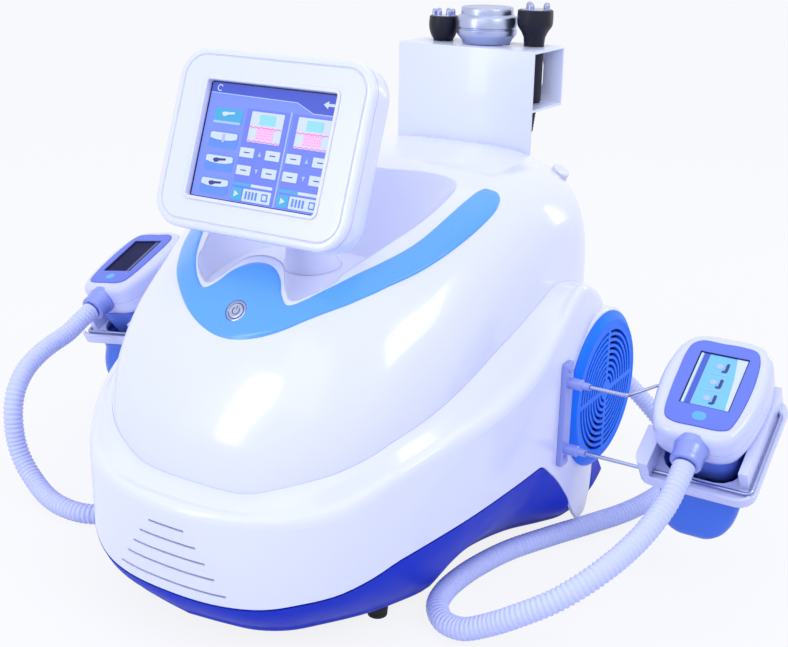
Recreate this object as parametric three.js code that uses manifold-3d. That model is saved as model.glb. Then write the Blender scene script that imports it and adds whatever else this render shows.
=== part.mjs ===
import * as THREE from 'three';
import { mergeVertices } from 'three/addons/utils/BufferGeometryUtils.js';
import Module from 'manifold-3d';

const wasm = await Module();
wasm.setup();

// Frame: millimetres, +X to the right seen from the front, -Y front, +Z up, floor at z = 0.

const FIT_GAP = 0.3;
const FAR = 600;
const WALL = 3.5;

// How far a cutting solid runs past what it cuts, and a joined one into what it joins
const OVERRUN = 1;
const CORNER_STEPS = 4;
const SMALL_CORNER_STEPS = 2;

// Body plan: superellipse to the front, a second one to the rear, both about the widest line
const BODY_HALF_WIDTH = 250;
const BODY_FRONT = -338;
const BODY_WIDEST = 50;
const BODY_FRONT_POWER = 2.45;
const BODY_REAR_REACH = 243;
const BODY_REAR_POWER = 3;
const BODY_END = 262;
const REAR_PLANE = 243;
const FRONT_SHARES = [0, 0.1, 0.2, 0.3, 0.4, 0.5, 0.6, 0.7, 0.8, 0.87, 0.925, 0.965, 1];
const REAR_STATIONS = [73, 89, 105, 120, 142, 158, 173, 207, 243];

// Hood plan and dome
const HOOD_HALF_WIDTH = 213;
const HOOD_FRONT = -297;
const HOOD_FRONT_POWER = 3;
const HOOD_REAR_REACH = 230;
const HOOD_REAR_POWER = 3.8;
const DOME_TOP = 446;
const DOME_REAR_DROP = 18;
const DOME_FRONT_POWER = 1.75;
const DOME_SIDE_POWER = 3.4;
const DOME_POWER_TURN = 4;
const DOME_ROWS = 8;
const DOME_ROWS_INNER = 4;
const DOME_FOOT = 60;
const DOME_FOOT_INNER = 20;
const HOOD_LAP = 12;
const LAP_SIDE_GAP = 0.8;
const LAP_SEAT_GAP = 0.6;
const FLANGE_REACH = 6;
const FLANGE_THICKNESS = 3;

// Height lines along the depth: pairs of y and z
const SKIRT_EDGE = [[-345, 56], [-320, 60], [-300, 67], [-275, 74], [-247, 86], [-218, 100], [-145, 116],
  [-60, 125], [-4, 127], [29, 106], [73, 63], [105, 22], [122, 10], [140, 10], [168, 28], [207, 73],
  [240, 85], [300, 90]];
const RIM_LINE = [[-345, 157], [-305, 159], [-280, 164], [-228, 190], [-155, 213], [-100, 222],
  [-55, 232], [-9, 248], [38, 280], [72, 306], [95, 314], [134, 300], [160, 286], [200, 264], [243, 246],
  [300, 236]];
const HOOD_LINE = [[-305, 164], [-297, 165], [-285, 178], [-274, 186], [-250, 197], [-223, 209],
  [-207, 217], [-150, 236], [-100, 254], [-50, 272], [0, 286], [50, 300], [90, 311], [134, 305],
  [180, 288], [243, 264], [300, 250]];

// Ledge section from the rim to the hood: share across, drop below the line, sag
const LEDGE_SHARES = [[0, 9, 0], [0.05, 3.5, 0], [0.16, 0, 0], [0.42, 0, 2.5], [0.75, 0, 2.5]];
const LEDGE_UNDER_SHARES = [[0.75, 0, 2.5], [0.2, 0, 1], [0, 5, 0]];
const LEDGE_UNDER_EXTRA = 0.5;

// Front air slots: half-length and height
const SLOTS = [[22.7, 131.5], [36.3, 116.4], [46.8, 101.3], [57, 86.3], [69.1, 69.8]];
const SLOT_HEIGHT = 2.6;
const SLOT_DEPTH = 60;

// Pocket behind the trim band: half outline of its floor and of its edge on the dome
const POCKET_FLOOR = [[0, -166], [24, -171], [40, -188], [53, -197], [67, -188], [80, -160], [89, -112],
  [86, -72], [66, -46], [34, -36], [0, -34]];
const POCKET_EDGE = [[0, -164], [24, -170], [40, -188], [54, -198], [72, -188], [97, -156], [121, -92],
  [133, -36], [127, 12], [60, 0], [0, -8]];
const POCKET_LEVEL = [[-200, 331], [-34, 344]];
const POCKET_EDGE_Z = [[-200, 338], [-170, 356], [-156, 380], [-92, 404], [-36, 420], [12, 440]];
const POCKET_TOP = 480;

// Trim band outline, right half
const BAND_OUTER = [[0, -240], [30, -236], [62, -223], [86, -207], [107, -187], [124, -163], [140, -134],
  [154, -103], [166, -70], [174, -38], [177, -8], [172, 22], [160, 33]];
const BAND_INNER = [[147, 27], [141, -2], [138, -34], [130, -80], [118, -118], [103, -151], [88, -175],
  [68, -196], [53, -203], [41, -196], [30, -182], [16, -173], [0, -170]];
const BAND_PROUD = 2;
const BAND_BED = 1.2;
const BED_FLOOR = 1.5;
const BAND_SPAN = [200, 500];

// Power button
const BUTTON = { y: -217, z: 322, slope: 42, radius: 8.4, bore: 8.7, barrel: 10, flange: 12, seat: -2.2,
  top: 3, rim: 11.2, proud: 3.5, foot: -10, cupTop: -11.8, cupFoot: -14, sides: 20 };

// Base tray
const TRAY_BOTTOM = 14;
const TRAY_FLOOR = 18;
const TRAY_ROUND = [[14, 16], [5, 18], [0, 24]];
const TRAY_BULGE = [[0.5, 0.38], [0.85, 0.75]];
const TRAY_WALL = 3.8;
const TRAY_REAR = 240;
const TRAY_STEP = 4.5;
const TRAY_LIP = 10;
const TRAY_LEG_LEVEL = 34;
// The tray's foot: shares of the body's half width across, with places along the depth
const TRAY_FOOT_SHARES = [[0, -314], [0.18, -308], [0.32, -300], [0.44, -281], [0.532, -251],
  [0.632, -212], [0.696, -175], [0.744, -135], [0.736, -106], [0.72, -65], [0.724, -25], [0.788, 30],
  [0.888, 72], [0.944, 100], [0.956, 140], [0.944, 190], [0.888, 262], [0.48, 262], [0, 262]];
const TRAY_OUTLINE = TRAY_FOOT_SHARES.map(([across, y]) => [across * BODY_HALF_WIDTH, y]);
const FOOT = { radius: 12, side: 10.5, height: 13.7, sides: 16, frontX: 150, frontY: -180, rearX: 150,
  rearY: 200 };

// Display unit, in its own frame: across, up the screen, out of the screen
const TILT = 20.8;
const DISPLAY_CENTRE = [0, -173, 486];
const SCREEN = { width: 243, height: 190, corner: 34, back: -46, front: -6.3, wall: 3.5, steps: 4 };
const SCREEN_BACK_RINGS = [[-46, 40], [-40, 16], [-31, 4], [-20, 0]];
const BEZEL = { back: -6, face: 2, edge: 5, shoulder: -2, round: 1, ease: 2, rimWidth: 4, rimTop: 3.4,
  groove: 8, grooveWidth: 1.4, grooveDepth: 1, window: [162, 121.5], corner: 3 };
const GLASS = { back: -5.7, front: 0 };
const HINGE = { y: -136, z: 417, pin: 4, bore: 4.3, knuckle: 10, half: 17, earInner: 17.4, earOuter: 27,
  sides: 20 };
const PEDESTAL = [[-85, 0, 33, 33], [-87, 10, 29, 29], [-97, 30, 22, 21], [-118, 56, 17.5, 13],
  [-135, 74, 17, 8.5]];
const PEDESTAL_SIDES = 20;

// Side applicators: x from the body's widest line; the rest in their own frame, which is across,
// away from the hose and out of the display
const HAND_RIGHT = { x: 158, y: 83, z: 239, tilt: 32.5, turn: 0 };
const HAND_LEFT = { x: 171.2, y: 74, z: 245, tilt: 22.6, turn: 10.8 };
const HAND_HALF = [[0, 65], [25, 64], [41, 58], [51, 45], [56.5, 23], [58, 0], [56, -26], [51, -51],
  [42, -70], [28, -77], [0, -78]];
const HAND_SHIFT = -2;
const HAND_RINGS = [[-45, 5], [-41, 1], [-30, 0], [-12, 0], [-5, 3], [-1.6, 9]];
const PANEL_OUTLINE = [[-39, 44], [-30, 51], [-7, 51.5], [16, 52], [31, 49], [37, 39], [41, 12],
  [41, -16], [38, -44], [34, -57], [26, -61], [-2, -62], [-24, -62], [-34, -58], [-38, -50], [-41, -25],
  [-42, 4], [-42, 31]];
const PANEL = { back: -2.9, front: 0, bed: -3.2 };
const HAND_DISPLAY = { width: 54, height: 72, back: -2.9, front: -0.3 };
const HAND_CUP = { top: -45.3, foot: -92, halfTop: 42, halfFoot: 34, back: 12, front: -74, wall: 4,
  corner: 24, floor: -60 };
const CONNECTOR = { off: -18, seat: -72, end: -101, radius: 16.5, collar: 14.2, rim: 2, sides: 24 };

// Cradle: tray, bowl and rod
const CRADLE = { left: -64, right: 66, front: -100, rear: 45, corner: 18, bottom: -78, floor: -72.5,
  lip: -66, lipWidth: 4, block: -45.4 };
const CRADLE_OPENING = { half: 45, front: -80, rear: 10, corner: 26 };
const CRADLE_BLOCKS = [[-64, -47, -96, -44], [47, 57, -79, 42]];
const BOWL_RINGS = [[-78.3, 45, 1, -42], [-93, 45, 1, -43.5], [-106, 45, 0.92, -59], [-117, 43, 0.84, -70],
  [-128, 37, 0.72, -80], [-138, 20, 0.44, -88]];
const BOWL = { half: 53, wall: 3, corner: 0.62, steps: 3 };
const ROD = { radius: 2.2, clear: 2.5, bend: 7, off: -70, front: -86, rear: 27, outer: 61, inner: -83,
  sides: 8, steps: 3, lead: 9 };
const BRACKET = { back: 0.3, front: 6.3, y: 48.1, half: 10, bottom: 113, top: 238, post: 6.5, postEnd: 21,
  tip: 4, tipEnd: 31, bore: 12, upper: 214, lower: 133.8, sides: 20 };

// Side discs and fans, measured outward from the body's widest line
const DISC = { y: 154, z: 171, back: 0.3, face: 8.5, radius: 95, faceRadius: 85, sides: 32 };
const DISC_SLOTS = [[72, 64, 5], [55, 47, 4], [38, 30, 3]];
const DISC_SPOKE = 6;
const POD = { radius: 99.5, bore: 75, inner: -38, face: 0, reach: 40 };
const FAN_FRAME = { outer: 74.7, inner: 66, back: -34, front: -6, hub: 14, hubFront: -29, spoke: 5 };
const FAN_ROTOR = { hub: 17, back: -28.6, front: -10, blade: 62, root: 2, blades: 5, thickness: 2.4,
  pitch: 35, width: 24, sides: 20 };

// Hoses
const HOSE = { crest: 12.2, root: 11.1, bore: 7, rest: 12.5, ribs: 52, sides: 8, boreEvery: 2,
  straight: 24 };

// Rear panel, rack and top applicators
const REAR_PANEL = { front: 243.3, back: 247.3, bottom: 24, inset: 1, foot: 170, arcSteps: 8 };
const GLAND = { x: 150, z: 150, back: 247.6, flange: 19, flangeEnd: 252, neck: 253, body: 14.5, end: 272,
  sides: 20 };
const INLET = { x: 0, z: 62, width: 84, height: 40, back: 247.6, end: 256, plugX: 12, recess: 34,
  recessHeight: 22, floor: 249.4 };
const SWITCH = { x: -26, z: 62, half: 9, height: 13.2, well: 14.3, floor: 249.1, back: 249.4, edge: 252.1,
  raised: 258.2, middle: 255.6, low: 255.8 };
const SOCKETS = { z: 128, spacing: 52, width: 150, height: 34, back: 247.6, plate: 3, radius: 13,
  reach: 11.4, bore: 8, sides: 12 };
const RACK = { half: 97, front: 247.6, depth: 88.4, bottom: 318, height: 228.5, bay: 74.5, sheet: 3,
  window: [70, 50, 14], holeSides: 16 };
const RACK_TOP = RACK.bottom + RACK.height;
const RACK_SHELF = RACK_TOP - RACK.bay;
const SHELF_TOP = RACK_SHELF + RACK.sheet;

// Rack applicators: places from the rack's front, sections from the top of the shelf or of the rack
const HEAD_ROW = [[-59, 48.4], [3, 51.9], [65, 64.4]];
const BOOT_FOOT = -39;
const RF_BOOT_RADII = [3.2, 7.5, 11.8];
const RF_LEFT = [[13, 1.5], [16, 6.5], [18.6, 14.5], [19.2, 21.5], [18.4, 31.5]];
const RF_RIGHT = [[13.2, 9.5], [17, 17.5], [22, 25.5], [22.8, 33.5], [22.4, 45]];
const RF_HOLE = 13.6;
const SHELF_HOLE = 9;
const RF_LEFT_PINS = { ring: 12, count: 6, radius: 3.2, height: 9, disc: 15.2, sides: 6 };
const RF_RIGHT_PINS = { ring: 14, count: 3, radius: 4.4, height: 9, disc: 18.6, sides: 8 };
const ELECTRODE_BED = 2;
const CAV_RADII = [3.6, 7.5, 15, 20, 21];
const CAV_SHOULDER = 9;
const CAV_HOLE = 22;
const CAV_SIDES = 24;
const CAV_HEAD = [[31, 0.6], [33, 5.5], [38.5, 12.5], [38.5, 18.5], [36.8, 20], [38.5, 21.5],
  [38.5, 34.5], [33.5, 37], [33.5, 44.5], [32, 46]];
const FILL_CAP = { x: 150, y: 222, z: 407, tilt: 35, radius: 11, height: 8, edge: 2, stem: 7, boss: 13,
  depth: 9, sides: 16 };

// Inner parts seated on the tray floor
const TANK = [-150, -30, -30, 90, 150];
const SUPPLY = [20, 150, -60, 60, 88];
const PUMP = { x: 60, y: 130, radius: 34, height: 96, sides: 24 };

const white = new THREE.MeshStandardMaterial({ color: 0xeef2fb, roughness: 0.28, metalness: 0 });
const trimBlue = new THREE.MeshStandardMaterial({ color: 0x4f9cf5, roughness: 0.3, metalness: 0 });
const baseBlue = new THREE.MeshStandardMaterial({ color: 0x1640c8, roughness: 0.3, metalness: 0 });
const grilleBlue = new THREE.MeshStandardMaterial({ color: 0x2d6cf2, roughness: 0.4, metalness: 0 });
const panelBlue = new THREE.MeshStandardMaterial({ color: 0x7f90e2, roughness: 0.35, metalness: 0 });
const cupBlue = new THREE.MeshStandardMaterial({ color: 0x5f7fd8, roughness: 0.35, metalness: 0 });
const steel = new THREE.MeshStandardMaterial({ color: 0xc9cede, roughness: 0.25, metalness: 1 });
const aluminium = new THREE.MeshStandardMaterial({ color: 0xb9bfd2, roughness: 0.35, metalness: 1 });
const black = new THREE.MeshStandardMaterial({ color: 0x14151d, roughness: 0.45, metalness: 0 });
const rubber = new THREE.MeshStandardMaterial({ color: 0x101114, roughness: 0.85, metalness: 0 });
const glass = new THREE.MeshStandardMaterial({ color: 0x5a66b8, roughness: 0.08, metalness: 0 });
const hoseGrey = new THREE.MeshStandardMaterial({ color: 0xc3c8ef, roughness: 0.5, metalness: 0 });
const tankWhite = new THREE.MeshStandardMaterial({ color: 0xcfe0f0, roughness: 0.3, metalness: 0 });
const greyMetal = new THREE.MeshStandardMaterial({ color: 0x8f959f, roughness: 0.45, metalness: 0.9 });

const part = new THREE.Group();
part.name = 'cryolipolysis_machine';

// Shared helpers

const radians = (degrees) => degrees * Math.PI / 180;
const power = (value, exponent) => Math.max(0, value) ** exponent;

function lineAt(table, y) {
  if (y <= table[0][0]) return table[0][1];
  for (let i = 1; i < table.length; i += 1) {
    const [y0, z0] = table[i - 1];
    const [y1, z1] = table[i];
    if (y <= y1) return z0 + (z1 - z0) * (y - y0) / (y1 - y0);
  }
  return table[table.length - 1][1];
}

function smoothStep(t) {
  const s = Math.min(1, Math.max(0, t));
  return s * s * (3 - 2 * s);
}

function solidOf(geometry) {
  const plain = geometry.clone();
  plain.deleteAttribute('normal');
  plain.deleteAttribute('uv');
  const merged = mergeVertices(plain);
  const corners = merged.index.array;
  const kept = [];
  for (let i = 0; i < corners.length; i += 3) {
    const [a, b, c] = [corners[i], corners[i + 1], corners[i + 2]];
    if (a !== b && b !== c && a !== c) kept.push(a, b, c);
  }
  const positions = new Float32Array(merged.attributes.position.array);
  const mesh = new wasm.Mesh({ numProp: 3, vertProperties: positions, triVerts: new Uint32Array(kept) });
  return new wasm.Manifold(mesh);
}

function geometryOf(solid) {
  const mesh = solid.getMesh();
  const geometry = new THREE.BufferGeometry();
  const positions = new Float32Array(mesh.vertProperties);
  geometry.setAttribute('position', new THREE.BufferAttribute(positions, mesh.numProp));
  geometry.setIndex(new THREE.BufferAttribute(new Uint32Array(mesh.triVerts), 1));
  geometry.computeVertexNormals();
  return geometry;
}

function add(name, solid, material) {
  const mesh = new THREE.Mesh(geometryOf(solid), material);
  mesh.name = name;
  part.add(mesh);
}

const mirrored = (solid) => solid.mirror([1, 0, 0]);

function addPair(name, solid, material) {
  add(`${name}_right`, solid, material);
  add(`${name}_left`, mirrored(solid), material);
}

// Solid from points and triangles, turned to face outward
function outward(points, index) {
  let volume = 0;
  for (let i = 0; i < index.length; i += 3) {
    const [a, b, c] = [index[i] * 3, index[i + 1] * 3, index[i + 2] * 3];
    volume += points[a] * (points[b + 1] * points[c + 2] - points[b + 2] * points[c + 1])
      + points[a + 1] * (points[b + 2] * points[c] - points[b] * points[c + 2])
      + points[a + 2] * (points[b] * points[c + 1] - points[b + 1] * points[c]);
  }
  const faces = volume < 0 ? index.map((v, i) => index[i + 2 - 2 * (i % 3)]) : index;
  const geometry = new THREE.BufferGeometry();
  geometry.setAttribute('position', new THREE.Float32BufferAttribute(points, 3));
  geometry.setIndex(faces);
  return solidOf(geometry);
}

// Closed surface through rings of points; the ends are capped unless the rings close on themselves
function loft(rings, closed = false) {
  const count = rings[0].length;
  const points = rings.flat(2);
  const index = [];
  const steps = closed ? rings.length : rings.length - 1;
  for (let r = 0; r < steps; r += 1) {
    const a = r * count;
    const b = ((r + 1) % rings.length) * count;
    for (let i = 0; i < count; i += 1) {
      const j = (i + 1) % count;
      index.push(a + i, a + j, b + j, a + i, b + j, b + i);
    }
  }
  if (!closed) {
    [0, rings.length - 1].forEach((r) => {
      const centre = [0, 1, 2].map((axis) => rings[r].reduce((sum, p) => sum + p[axis], 0) / count);
      const c = points.length / 3;
      points.push(...centre);
      for (let i = 0; i < count; i += 1) {
        const pair = [r * count + i, r * count + (i + 1) % count];
        if (r === 0) pair.reverse();
        index.push(c, ...pair);
      }
    });
  }
  return outward(points, index);
}

function box(x0, x1, y0, y1, z0, z1) {
  const geometry = new THREE.BoxGeometry(x1 - x0, y1 - y0, z1 - z0);
  geometry.translate((x0 + x1) / 2, (y0 + y1) / 2, (z0 + z1) / 2);
  return solidOf(geometry);
}

function circle(radius, z, sides) {
  return Array.from({ length: sides }, (_, i) => {
    const a = 2 * Math.PI * i / sides;
    return [radius * Math.cos(a), radius * Math.sin(a), z];
  });
}

// Solids of revolution about the local third axis, from pairs of radius and height
const lathe = (profile, sides) => loft(profile.map(([r, z]) => circle(r, z, sides)));
const ringLathe = (profile, sides) => loft(profile.map(([r, z]) => circle(r, z, sides)), true);
const rod = (radius, z0, z1, sides) => lathe([[radius, z0], [radius, z1]], sides);

function prism(outline, z0, z1) {
  const shape = new THREE.Shape(outline.map(([x, y]) => new THREE.Vector2(x, y)));
  const geometry = new THREE.ExtrudeGeometry(shape, { depth: z1 - z0, bevelEnabled: false });
  geometry.translate(0, 0, z0);
  return solidOf(geometry);
}

function rounded(width, height, corner, steps, cx = 0, cy = 0) {
  const signs = [[1, 1], [-1, 1], [-1, -1], [1, -1]];
  return signs.flatMap(([sx, sy], quarter) => Array.from({ length: steps + 1 }, (_, i) => {
    const a = (quarter + i / steps) * Math.PI / 2;
    const x = cx + sx * (width / 2 - corner) + corner * Math.cos(a);
    return [x, cy + sy * (height / 2 - corner) + corner * Math.sin(a)];
  }));
}

// Outline moved outward by a distance; points run counter-clockwise
function grown(outline, by) {
  const n = outline.length;
  return outline.map((p, i) => {
    const before = outline[(i + n - 1) % n];
    const after = outline[(i + 1) % n];
    const d0 = new THREE.Vector2(p[0] - before[0], p[1] - before[1]).normalize();
    const d1 = new THREE.Vector2(after[0] - p[0], after[1] - p[1]).normalize();
    const t = d0.clone().add(d1).normalize();
    const stretch = by / Math.max(1 / 2, t.dot(d0));
    return [p[0] + t.y * stretch, p[1] - t.x * stretch];
  });
}

const mirroredOutline = (half) => [...half, ...half.slice(1, -1).reverse().map(([x, y]) => [-x, y])];
const atHeight = (outline, z) => outline.map(([x, y]) => [x, y, z]);

// Places a solid built about its own origin along three given directions
const placed = (solid, ex, ey, ez, origin) => solid.transform([...ex, 0, ...ey, 0, ...ez, 0, ...origin, 1]);
const alongX = (solid, y, z) => placed(solid, [0, 1, 0], [0, 0, 1], [1, 0, 0], [0, y, z]);
const alongY = (solid, x, z) => placed(solid, [-1, 0, 0], [0, 0, 1], [0, 1, 0], [x, 0, z]);

// The same, with heights counted outward from the body's widest line
const onWall = (solid, y, z) => alongX(solid, y, z).translate([BODY_HALF_WIDTH, 0, 0]);

// Frames carried without twist along a path
function pathFrames(path) {
  let side = null;
  return path.map((p, i) => {
    const before = path[Math.max(0, i - 1)];
    const after = path[Math.min(path.length - 1, i + 1)];
    const forward = after.clone().sub(before).normalize();
    if (!side) {
      const upright = Math.abs(forward.z) < Math.abs(forward.y) || Math.abs(forward.z) < Math.abs(forward.x);
      side = new THREE.Vector3(0, upright ? 0 : 1, upright ? 1 : 0).cross(forward);
    }
    side = side.clone().addScaledVector(forward, -side.dot(forward)).normalize();
    return { p, side, up: forward.clone().cross(side) };
  });
}

function ringAt({ p, side, up }, radius, sides) {
  return circle(radius, 0, sides).map(([a, b]) => (
    p.clone().addScaledVector(side, a).addScaledVector(up, b).toArray()));
}

const bar = (path, radius, sides) => loft(pathFrames(path).map((frame) => ringAt(frame, radius, sides)));

const STRAIGHT_TURN = radians(1);

function roundedPath(corners, bend, steps) {
  const points = [corners[0].clone()];
  for (let i = 1; i < corners.length - 1; i += 1) {
    const before = corners[i - 1].clone().sub(corners[i]).normalize();
    const after = corners[i + 1].clone().sub(corners[i]).normalize();
    const half = before.angleTo(after) / 2;
    if (Math.PI - 2 * half < STRAIGHT_TURN) continue;
    const middle = before.clone().add(after).normalize();
    const centre = corners[i].clone().addScaledVector(middle, bend / Math.sin(half));
    const start = corners[i].clone().addScaledVector(before, bend / Math.tan(half)).sub(centre);
    const end = corners[i].clone().addScaledVector(after, bend / Math.tan(half)).sub(centre);
    const sweep = Math.PI - 2 * half;
    for (let k = 0; k <= steps; k += 1) {
      const a = Math.sin((1 - k / steps) * sweep) / Math.sin(sweep);
      const b = Math.sin(k / steps * sweep) / Math.sin(sweep);
      points.push(centre.clone().addScaledVector(start, a).addScaledVector(end, b));
    }
  }
  points.push(corners[corners.length - 1].clone());
  return points;
}

// Body plan curves: the same columns serve the skirt, the ledge, the hood and the base

function frontColumn(halfWidth, front, exponent, share) {
  const a = Math.PI / 2 * share;
  const x = share === 0 ? 0 : halfWidth * power(Math.sin(a), 2 / exponent);
  return [x, BODY_WIDEST - (BODY_WIDEST - front) * power(Math.cos(a), 2 / exponent)];
}

function rearWidth(halfWidth, reach, exponent, y) {
  return halfWidth * power(1 - power((y - BODY_WIDEST) / reach, exponent), 1 / exponent);
}

function rightHalf(halfWidth, front, frontPower, reach, rearPower, inset) {
  const columns = FRONT_SHARES.map((share) => (
    frontColumn(halfWidth - inset, front + inset, frontPower, share)));
  REAR_STATIONS.forEach((y) => columns.push([rearWidth(halfWidth, reach, rearPower, y) - inset, y]));
  const last = columns[columns.length - 1];
  columns.push([last[0], BODY_END - inset]);
  columns.push([0, BODY_END - inset]);
  return columns;
}

const bodyPlan = (inset) => mirroredOutline(
  rightHalf(BODY_HALF_WIDTH, BODY_FRONT, BODY_FRONT_POWER, BODY_REAR_REACH, BODY_REAR_POWER, inset));
const hoodHalf = (inset) => (
  rightHalf(HOOD_HALF_WIDTH, HOOD_FRONT, HOOD_FRONT_POWER, HOOD_REAR_REACH, HOOD_REAR_POWER, inset));
const hoodPlan = (inset) => mirroredOutline(hoodHalf(inset));
const rim = (y) => lineAt(RIM_LINE, y);
const hoodEdge = (y) => lineAt(HOOD_LINE, y);
const skirtEdge = (y) => lineAt(SKIRT_EDGE, y);
const between = (a, b, t) => a.map((p, i) => [p[0] + (b[i][0] - p[0]) * t, p[1] + (b[i][1] - p[1]) * t]);
const lifted = (plan, height) => plan.map(([x, y]) => [x, y, height(y)]);
const rearCut = box(-FAR, FAR, REAR_PLANE, FAR, -FAR, FAR);

// Lower shell: skirt, ledge and the seat for the hood

const outerPlan = bodyPlan(0);
const hoodSeat = hoodPlan(-LAP_SIDE_GAP);

function ledgeRing(rimPlan, seat, share, drop) {
  return between(rimPlan, seat, share).map(([x, y], i) => {
    const low = rim(rimPlan[i][1]);
    const high = hoodEdge(seat[i][1]);
    return [x, y, low + (high - low) * smoothStep(share) - drop];
  });
}

function lowerShell() {
  const innerPlan = bodyPlan(WALL);
  const underSeat = hoodPlan(-WALL - LAP_SIDE_GAP);
  const flange = hoodPlan(FLANGE_REACH);
  const seatLevel = (y) => hoodEdge(y) - HOOD_LAP - LAP_SEAT_GAP;
  const flangeFoot = (y) => seatLevel(y) - FLANGE_THICKNESS;
  const over = LEDGE_SHARES.map(([share, drop, sag]) => ledgeRing(outerPlan, hoodSeat, share, drop + sag));
  const under = LEDGE_UNDER_SHARES.map(([share, drop, sag]) => (
    ledgeRing(innerPlan, underSeat, share, drop + sag + WALL + LEDGE_UNDER_EXTRA)));
  const rings = [lifted(outerPlan, skirtEdge), ...over, lifted(hoodSeat, hoodEdge),
    lifted(hoodSeat, seatLevel),
    lifted(flange, seatLevel), lifted(flange, flangeFoot), lifted(underSeat, flangeFoot), ...under,
    lifted(innerPlan, skirtEdge)];
  const pod = onWall(rod(POD.radius, POD.inner, POD.face, DISC.sides), DISC.y, DISC.z);
  const bore = onWall(rod(POD.bore, POD.inner - POD.reach, POD.face + POD.reach, DISC.sides), DISC.y, DISC.z);
  let shell = loft(rings, true).subtract(rearCut).add(pod).add(mirrored(pod));
  shell = shell.subtract(bore).subtract(mirrored(bore));
  SLOTS.forEach(([half, z]) => {
    shell = shell.subtract(box(-half, half, BODY_FRONT - SLOT_DEPTH, BODY_FRONT + SLOT_DEPTH,
      z - SLOT_HEIGHT / 2, z + SLOT_HEIGHT / 2));
  });
  return shell;
}

const lower = lowerShell();
add('lower_shell', lower, white);

// Hood: a dome drawn over the hood plan, hollow, open below and behind

function domeSolid(inset, end, foot, levels = DOME_ROWS) {
  const columns = hoodHalf(inset).slice(0, -2);
  columns.push([columns[columns.length - 1][0], end]);
  const rows = [columns.map(([x, y]) => [x, y, foot])];
  for (let r = 0; r <= levels; r += 1) {
    const phi = Math.PI / 2 * r / levels;
    rows.push(columns.map(([x, y], i) => {
      const angle = Math.PI / 2 * (FRONT_SHARES[i] ?? 1);
      const turn = power(1 - Math.cos(angle), DOME_POWER_TURN);
      const curl = 2 / (DOME_FRONT_POWER + (DOME_SIDE_POWER - DOME_FRONT_POWER) * turn);
      const shrink = r === levels ? 0 : power(Math.cos(phi), curl);
      const back = Math.max(0, (y - BODY_WIDEST) / (REAR_PLANE - BODY_WIDEST));
      const top = DOME_TOP - inset - DOME_REAR_DROP * Math.min(1, back * back);
      const z = hoodEdge(y) + (top - hoodEdge(y)) * power(Math.sin(phi), curl);
      return [x * shrink, i < FRONT_SHARES.length ? BODY_WIDEST + (y - BODY_WIDEST) * shrink : y, z];
    }));
  }
  const n = columns.length;
  const points = [];
  const index = [];
  const vertices = [1, -1].map((side) => rows.map((row) => row.map(([x, y, z]) => {
    points.push(side * x + 0, y, z);
    return points.length / 3 - 1;
  })));
  const [right, left] = vertices;
  const quad = (a, b, c, d) => index.push(a, b, c, a, c, d);
  for (let r = 0; r < rows.length - 1; r += 1) {
    for (let c = 0; c < n - 1; c += 1) {
      quad(right[r][c], right[r][c + 1], right[r + 1][c + 1], right[r + 1][c]);
      quad(left[r][c + 1], left[r][c], left[r + 1][c], left[r + 1][c + 1]);
    }
    quad(right[r][n - 1], left[r][n - 1], left[r + 1][n - 1], right[r + 1][n - 1]);
  }
  for (let c = 0; c < n - 1; c += 1) quad(right[0][c + 1], right[0][c], left[0][c], left[0][c + 1]);
  return outward(points, index);
}

function pocketTool(by) {
  const floor = grown(mirroredOutline(POCKET_FLOOR), by);
  const edge = grown(mirroredOutline(POCKET_EDGE), by);
  const bottom = lifted(floor, (y) => lineAt(POCKET_LEVEL, y) - by);
  const top = edge.map(([x, y], i) => {
    const t = (POCKET_TOP - bottom[i][2]) / (lineAt(POCKET_EDGE_Z, y) - bottom[i][2]);
    return [floor[i][0] + (x - floor[i][0]) * t, floor[i][1] + (y - floor[i][1]) * t, POCKET_TOP];
  });
  return loft([bottom, top]);
}

// Space under the hood's lower edge, as wide as the hood, with its breaks at the plan's columns
function underHood() {
  const columns = hoodHalf(0).slice(0, -1).map(([, y]) => [y, hoodEdge(y) - HOOD_LAP - LAP_SEAT_GAP]);
  const last = columns[columns.length - 1];
  const outline = [[-FAR, columns[0][1]], [-FAR, -FAR], [FAR, -FAR], [FAR, last[1]], ...columns.reverse()];
  return placed(prism(outline, -FAR, FAR), [0, 1, 0], [0, 0, 1], [1, 0, 0], [0, 0, 0]);
}

const buttonOut = [0, -Math.sin(radians(90 - BUTTON.slope)), Math.sin(radians(BUTTON.slope))];
const buttonUp = [0, buttonOut[2], -buttonOut[1]];
const onButton = (solid) => placed(solid, [1, 0, 0], buttonUp, buttonOut, [0, BUTTON.y, BUTTON.z]);
const buttonReach = (radius, from) => onButton(rod(radius, from, BAND_PROUD - BUTTON.cupFoot, BUTTON.sides));

function bandOutline(by) {
  const right = [...BAND_OUTER, ...BAND_INNER];
  return grown(mirroredOutline(right), by);
}

const dome = domeSolid(0, BODY_END, DOME_FOOT);
const domeInside = domeSolid(WALL, BODY_END + WALL, DOME_FOOT_INNER, DOME_ROWS_INNER);
const capTilt = radians(FILL_CAP.tilt);
const onCap = (solid) => placed(solid, [Math.cos(capTilt), 0, -Math.sin(capTilt)], [0, 1, 0],
  [Math.sin(capTilt), 0, Math.cos(capTilt)], [FILL_CAP.x, FILL_CAP.y, FILL_CAP.z]);

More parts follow.
